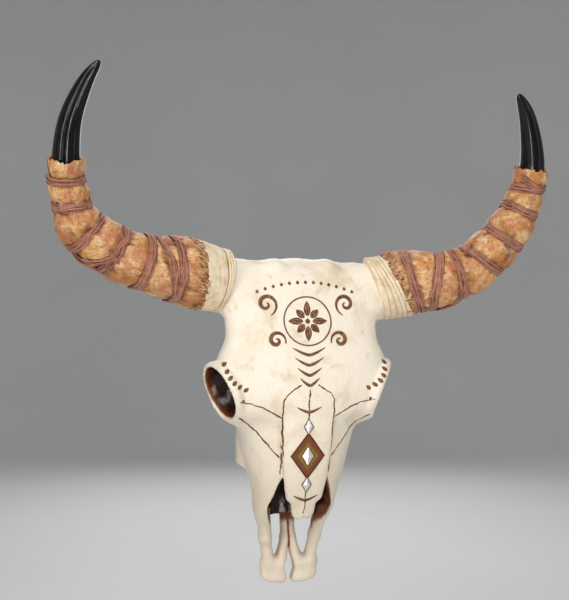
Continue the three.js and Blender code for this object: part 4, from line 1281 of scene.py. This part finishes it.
def strand_mesh(horn, seed, middle, angle, strand, thickness):
    """One flattened strand that lies on the sleeve along a route of shares and angles."""
    offset, width, stray, rise = strand
    _, _, whole, start, end = horn_curve(horn)
    length = (end - start) * whole
    turn = angle / (2 * np.pi)
    wander = stack(turn * 60, offset * 9, 0)
    drift = offset + stray * (noise(wander, 9, seed) + 0.4 * noise(wander, 4, seed + 1))
    sides = 14
    profile = np.linspace(0, 2 * np.pi, sides, endpoint=False)
    across = np.cos(profile) * width / 2
    swell = 1 + 0.18 * noise(wander, 6, seed + 2)
    twist = turn[:, None] * 34 + 3 * noise(wander, 12, seed + 4)[:, None]
    lobes = 1 + 0.22 * np.cos(3 * profile[None, :] + twist)
    lift = np.sin(profile) * thickness / 2
    shift = drift[:, None] + across[None, :] * swell[:, None]
    t = np.clip(middle[:, None] + shift / length, 0, 1)
    turned = np.broadcast_to(angle[:, None], t.shape)
    relief, _ = sleeve_relief(horn, np.clip(middle, 0, 1), angle, length, seed=HIDE_SEED[horn["side"]])
    rest = sleeve_radius(np.clip(middle, 0, 1)) + relief
    radius = rest[:, None] + 0.5 * thickness + rise + (lift * lobes) * swell[:, None]
    points = horn_points(horn_frames(horn, start + t * (end - start)), radius, turned).reshape(-1, 3)
    # Painted light: the upper side of each strand, and strands lifted over others, lighter; the underside
    # darker.
    light = np.clip(0.5 + 0.5 * np.sin(profile)[None, :] * lobes + 0.25 * rise - 0.1, 0, 1)
    return points, outward(points, tube_faces(len(angle), sides)), light.ravel()


def joined(name, parts, attribute):
    """One mesh object from parts given as (points, faces, values of the attribute)."""
    points, faces, values = [], [], []
    count = 0
    for p, f, v in parts:
        points.append(p)
        faces += [[i + count for i in face] for face in f]
        values.append(v)
        count += len(p)
    return add_mesh(name, np.vstack(points), faces, {attribute: np.concatenate(values)})


def strap_piece(name, horn, seed):
    """The strap wound round a sleeve and the strands that cross it, each a bundle of flat cords."""
    turns = len(horn["wraps"]) - 0.5
    turn = np.linspace(0, turns, int(turns * (150 if FINE else 60)))
    routes = [(strap_share(horn, turn), turn * 2 * np.pi)]
    for crossing in horn["crossings"]:
        line = smooth_line([(100 * t, angle, 0) for t, angle in crossing], 1.2)
        routes.append((line[:, 0] / 100, np.radians(line[:, 1])))
    parts = []
    for r, (share, angle) in enumerate(routes):
        strands, thickness = (STRANDS, 1.5) if r == 0 else (STRANDS[:5], 2.0)
        for k, strand in enumerate(strands):
            parts.append(strand_mesh(horn, seed + 10 * k + 100 * r, share, angle, strand, thickness))
    return joined(name, parts, "strand")


def tip_piece(name, horn):
    """A pointed tip with shallow flats along it."""
    _, _, whole, _, end = horn_curve(horn)
    rows, sides = (160, 120) if FINE else (60, 60)
    angle = np.linspace(0, 2 * np.pi, sides, endpoint=False)
    s = np.linspace(0, 1, rows)[:, None] ** 0.9
    turned = np.broadcast_to(angle, (rows, sides))
    facets = 0.024 * np.abs(np.cos(4.5 * turned + 0.3)) + 0.003 * np.cos(23 * turned + 2 * s)
    radius = TIP_RADIUS * np.maximum(1 - s, 0.0005) ** 0.42 * (1 - facets)
    share = end + s * (1 - end) - (1 - s) * 3 / whole
    share = np.broadcast_to(share, turned.shape)
    points = horn_points(horn_frames(horn, share), radius, turned)
    faces = tube_faces(rows, sides, flip=horn["side"] < 0)
    return add_mesh(name, points.reshape(-1, 3), faces)


ground = skull_piece()
paint, dark_line, silver = paint_material(), line_material(), silver_material()
place(joined("bone_joints", suture_strips(ground), "tone"), "bone_resin", dark_line)
place(joined("brow_star", star(ground), "tone"), "bone_resin", paint)
place(joined("scrolls", scrolls(ground) + arch(ground), "tone"), "bone_resin", paint)
place(joined("chevrons", chevrons(ground) + eye_rows(ground), "tone"), "bone_resin", paint)
panel_size = (NOSE_PANEL["half_width"], NOSE_PANEL["half_height"])
panel_relief, panel_shades = [(0, 0.3), (0.9, 0.45), (1, 0.3)], [(0, 1), (0.6, 0.5), (1, 0)]
panel = lozenge(ground, NOSE_PANEL["at"], *panel_size, panel_relief, panel_shades)
place(joined("nose_panel", [panel], "tone"), "bone_resin", panel_material())
outlines, flat_top = [], [(0, 0.7), (1, 0.7)]
for height, width, length in LOZENGES.values():
    grown = (width / 2 + 1.1, length / 2 + 1.8)
    outlines.append(lozenge(ground, (0, height), *grown, flat_top, [(0, 0), (1, 0.3)]))
place(joined("inlay_outlines", outlines, "tone"), "bone_resin", dark_line)
for name, (height, width, length) in LOZENGES.items():
    facets = lozenge(ground, (0, height), width / 2, length / 2, [(0, 1.9), (1, 0.9)], [(0, 1), (1, 0)])
    place(joined(f"silver_{name}", [facets], "tone"), "silver", silver, name)
twine, hide, strapping = twine_material(), hide_material(), strap_material()
black = tip_material()
for key, horn in HORNS.items():
    seed = HIDE_SEED[horn["side"]]
    place(binding_piece(f"horn_binding_{key}", horn, seed + 1), "twine_resin", twine, f"binding_{key}")
    place(sleeve_piece(f"horn_sleeve_{key}", horn, seed), "hide_resin", hide, f"sleeve_{key}")
    place(strap_piece(f"horn_strap_{key}", horn, seed + 2), "strap_resin", strapping, f"strap_{key}")
    place(tip_piece(f"horn_tip_{key}", horn), "horn_gloss", black, f"tip_{key}")

steel = steel_material()
for name in ("hanger", "nail_left", "nail_right"):
    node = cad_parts[name]
    node.data.materials.clear()
    node.data.materials.append(steel)

# ---- Floor, light and camera ----

FLOOR_Z = -0.55  # metres, as all sizes from here on
COVE = {"radius": 3.4, "curve": 1.2, "height": 3.4}
CAMERA = {"azimuth": -14, "distance": 0.95, "aim": (-0.0097, -0.06, 0), "lens": 57, "sensor": 36}


def studio():
    """A pale floor that sweeps up into a wall all round."""
    sides, steps = 96, 24
    radius, curve = COVE["radius"], COVE["curve"]
    profile = [(r, 0.0) for r in (0.001, 0.6, 1.4, 2.2)]
    for k in range(steps + 1):
        a = k / steps * math.pi / 2
        profile.append((radius - curve + curve * math.sin(a), curve - curve * math.cos(a)))
    profile.append((radius, COVE["height"]))
    angle = np.linspace(0, 2 * np.pi, sides, endpoint=False)
    rings = [stack(r * np.cos(angle), r * np.sin(angle), FLOOR_Z + h) for r, h in profile]
    points = np.vstack(rings) / MM
    piece = add_mesh("studio_floor", points, tube_faces(len(profile), sides, close_ends=False, flip=True))
    n = Nodes("pale_floor")
    tone = n.noise(n.place(), 400, 3)
    piece.data.materials.append(n.finish(n.mix(tone, rgb(218, 218, 216), rgb(226, 226, 224)), 0.8))


def area_light(name, location, target, size, power, size_y=None, spread=180):
    light = bpy.data.lights.new(name, "AREA")
    light.energy = power
    light.spread = math.radians(spread)
    light.size = size
    if size_y:
        light.shape = "RECTANGLE"
        light.size_y = size_y
    lamp = bpy.data.objects.new(name, light)
    lamp.location = location
    lamp.rotation_mode = "QUATERNION"
    lamp.rotation_quaternion = (Vector(target) - Vector(location)).to_track_quat("-Z", "Y")
    bpy.context.scene.collection.objects.link(lamp)


def camera():
    """Level with the skull, in front of it and a little to the viewer's left."""
    azimuth = math.radians(CAMERA["azimuth"])
    aim = Vector(CAMERA["aim"])
    back = Vector((math.sin(azimuth), -math.cos(azimuth), 0))
    data = bpy.data.cameras.new("camera")
    data.sensor_width = CAMERA["sensor"]
    data.lens = CAMERA["lens"]
    data.clip_end = 50
    eye = bpy.data.objects.new("camera", data)
    eye.location = aim + back * CAMERA["distance"]
    eye.rotation_mode = "QUATERNION"
    eye.rotation_quaternion = (-back).to_track_quat("-Z", "Y")
    bpy.context.scene.collection.objects.link(eye)
    bpy.context.scene.camera = eye


studio()
camera()
middle = (0, -0.06, -0.05)
area_light("key", (-0.6, -0.95, 0.9), (-0.08, -0.08, 0.08), 0.7, 1.1, spread=60)
area_light("fill", (1.4, -1.4, 0.7), middle, 1.3, 1.2)
area_light("right_strip", (1.1, -1.0, 0.35), (0.2, -0.14, 0.16), 0.05, 2.4, 1.2)
area_light("left_strip", (-1.2, -0.9, 0.3), (-0.2, -0.1, 0.1), 0.06, 7, 1.5)
area_light("front_strip", (-0.04, -1.0, -0.16), (0.2, -0.14, 0.15), 0.03, 3.4, 0.75)
area_light("top", (0, 0.2, 1.9), middle, 1.6, 10)
area_light("back", (0.4, 1.7, 0.7), middle, 1.4, 12)
world = bpy.data.worlds.new("studio_air")
world.use_nodes = True
world.node_tree.nodes["Background"].inputs["Color"].default_value = (0.9, 0.93, 1.0, 1)
world.node_tree.nodes["Background"].inputs["Strength"].default_value = 0.27
bpy.context.scene.world = world
bpy.context.scene.view_settings.view_transform = "Standard"
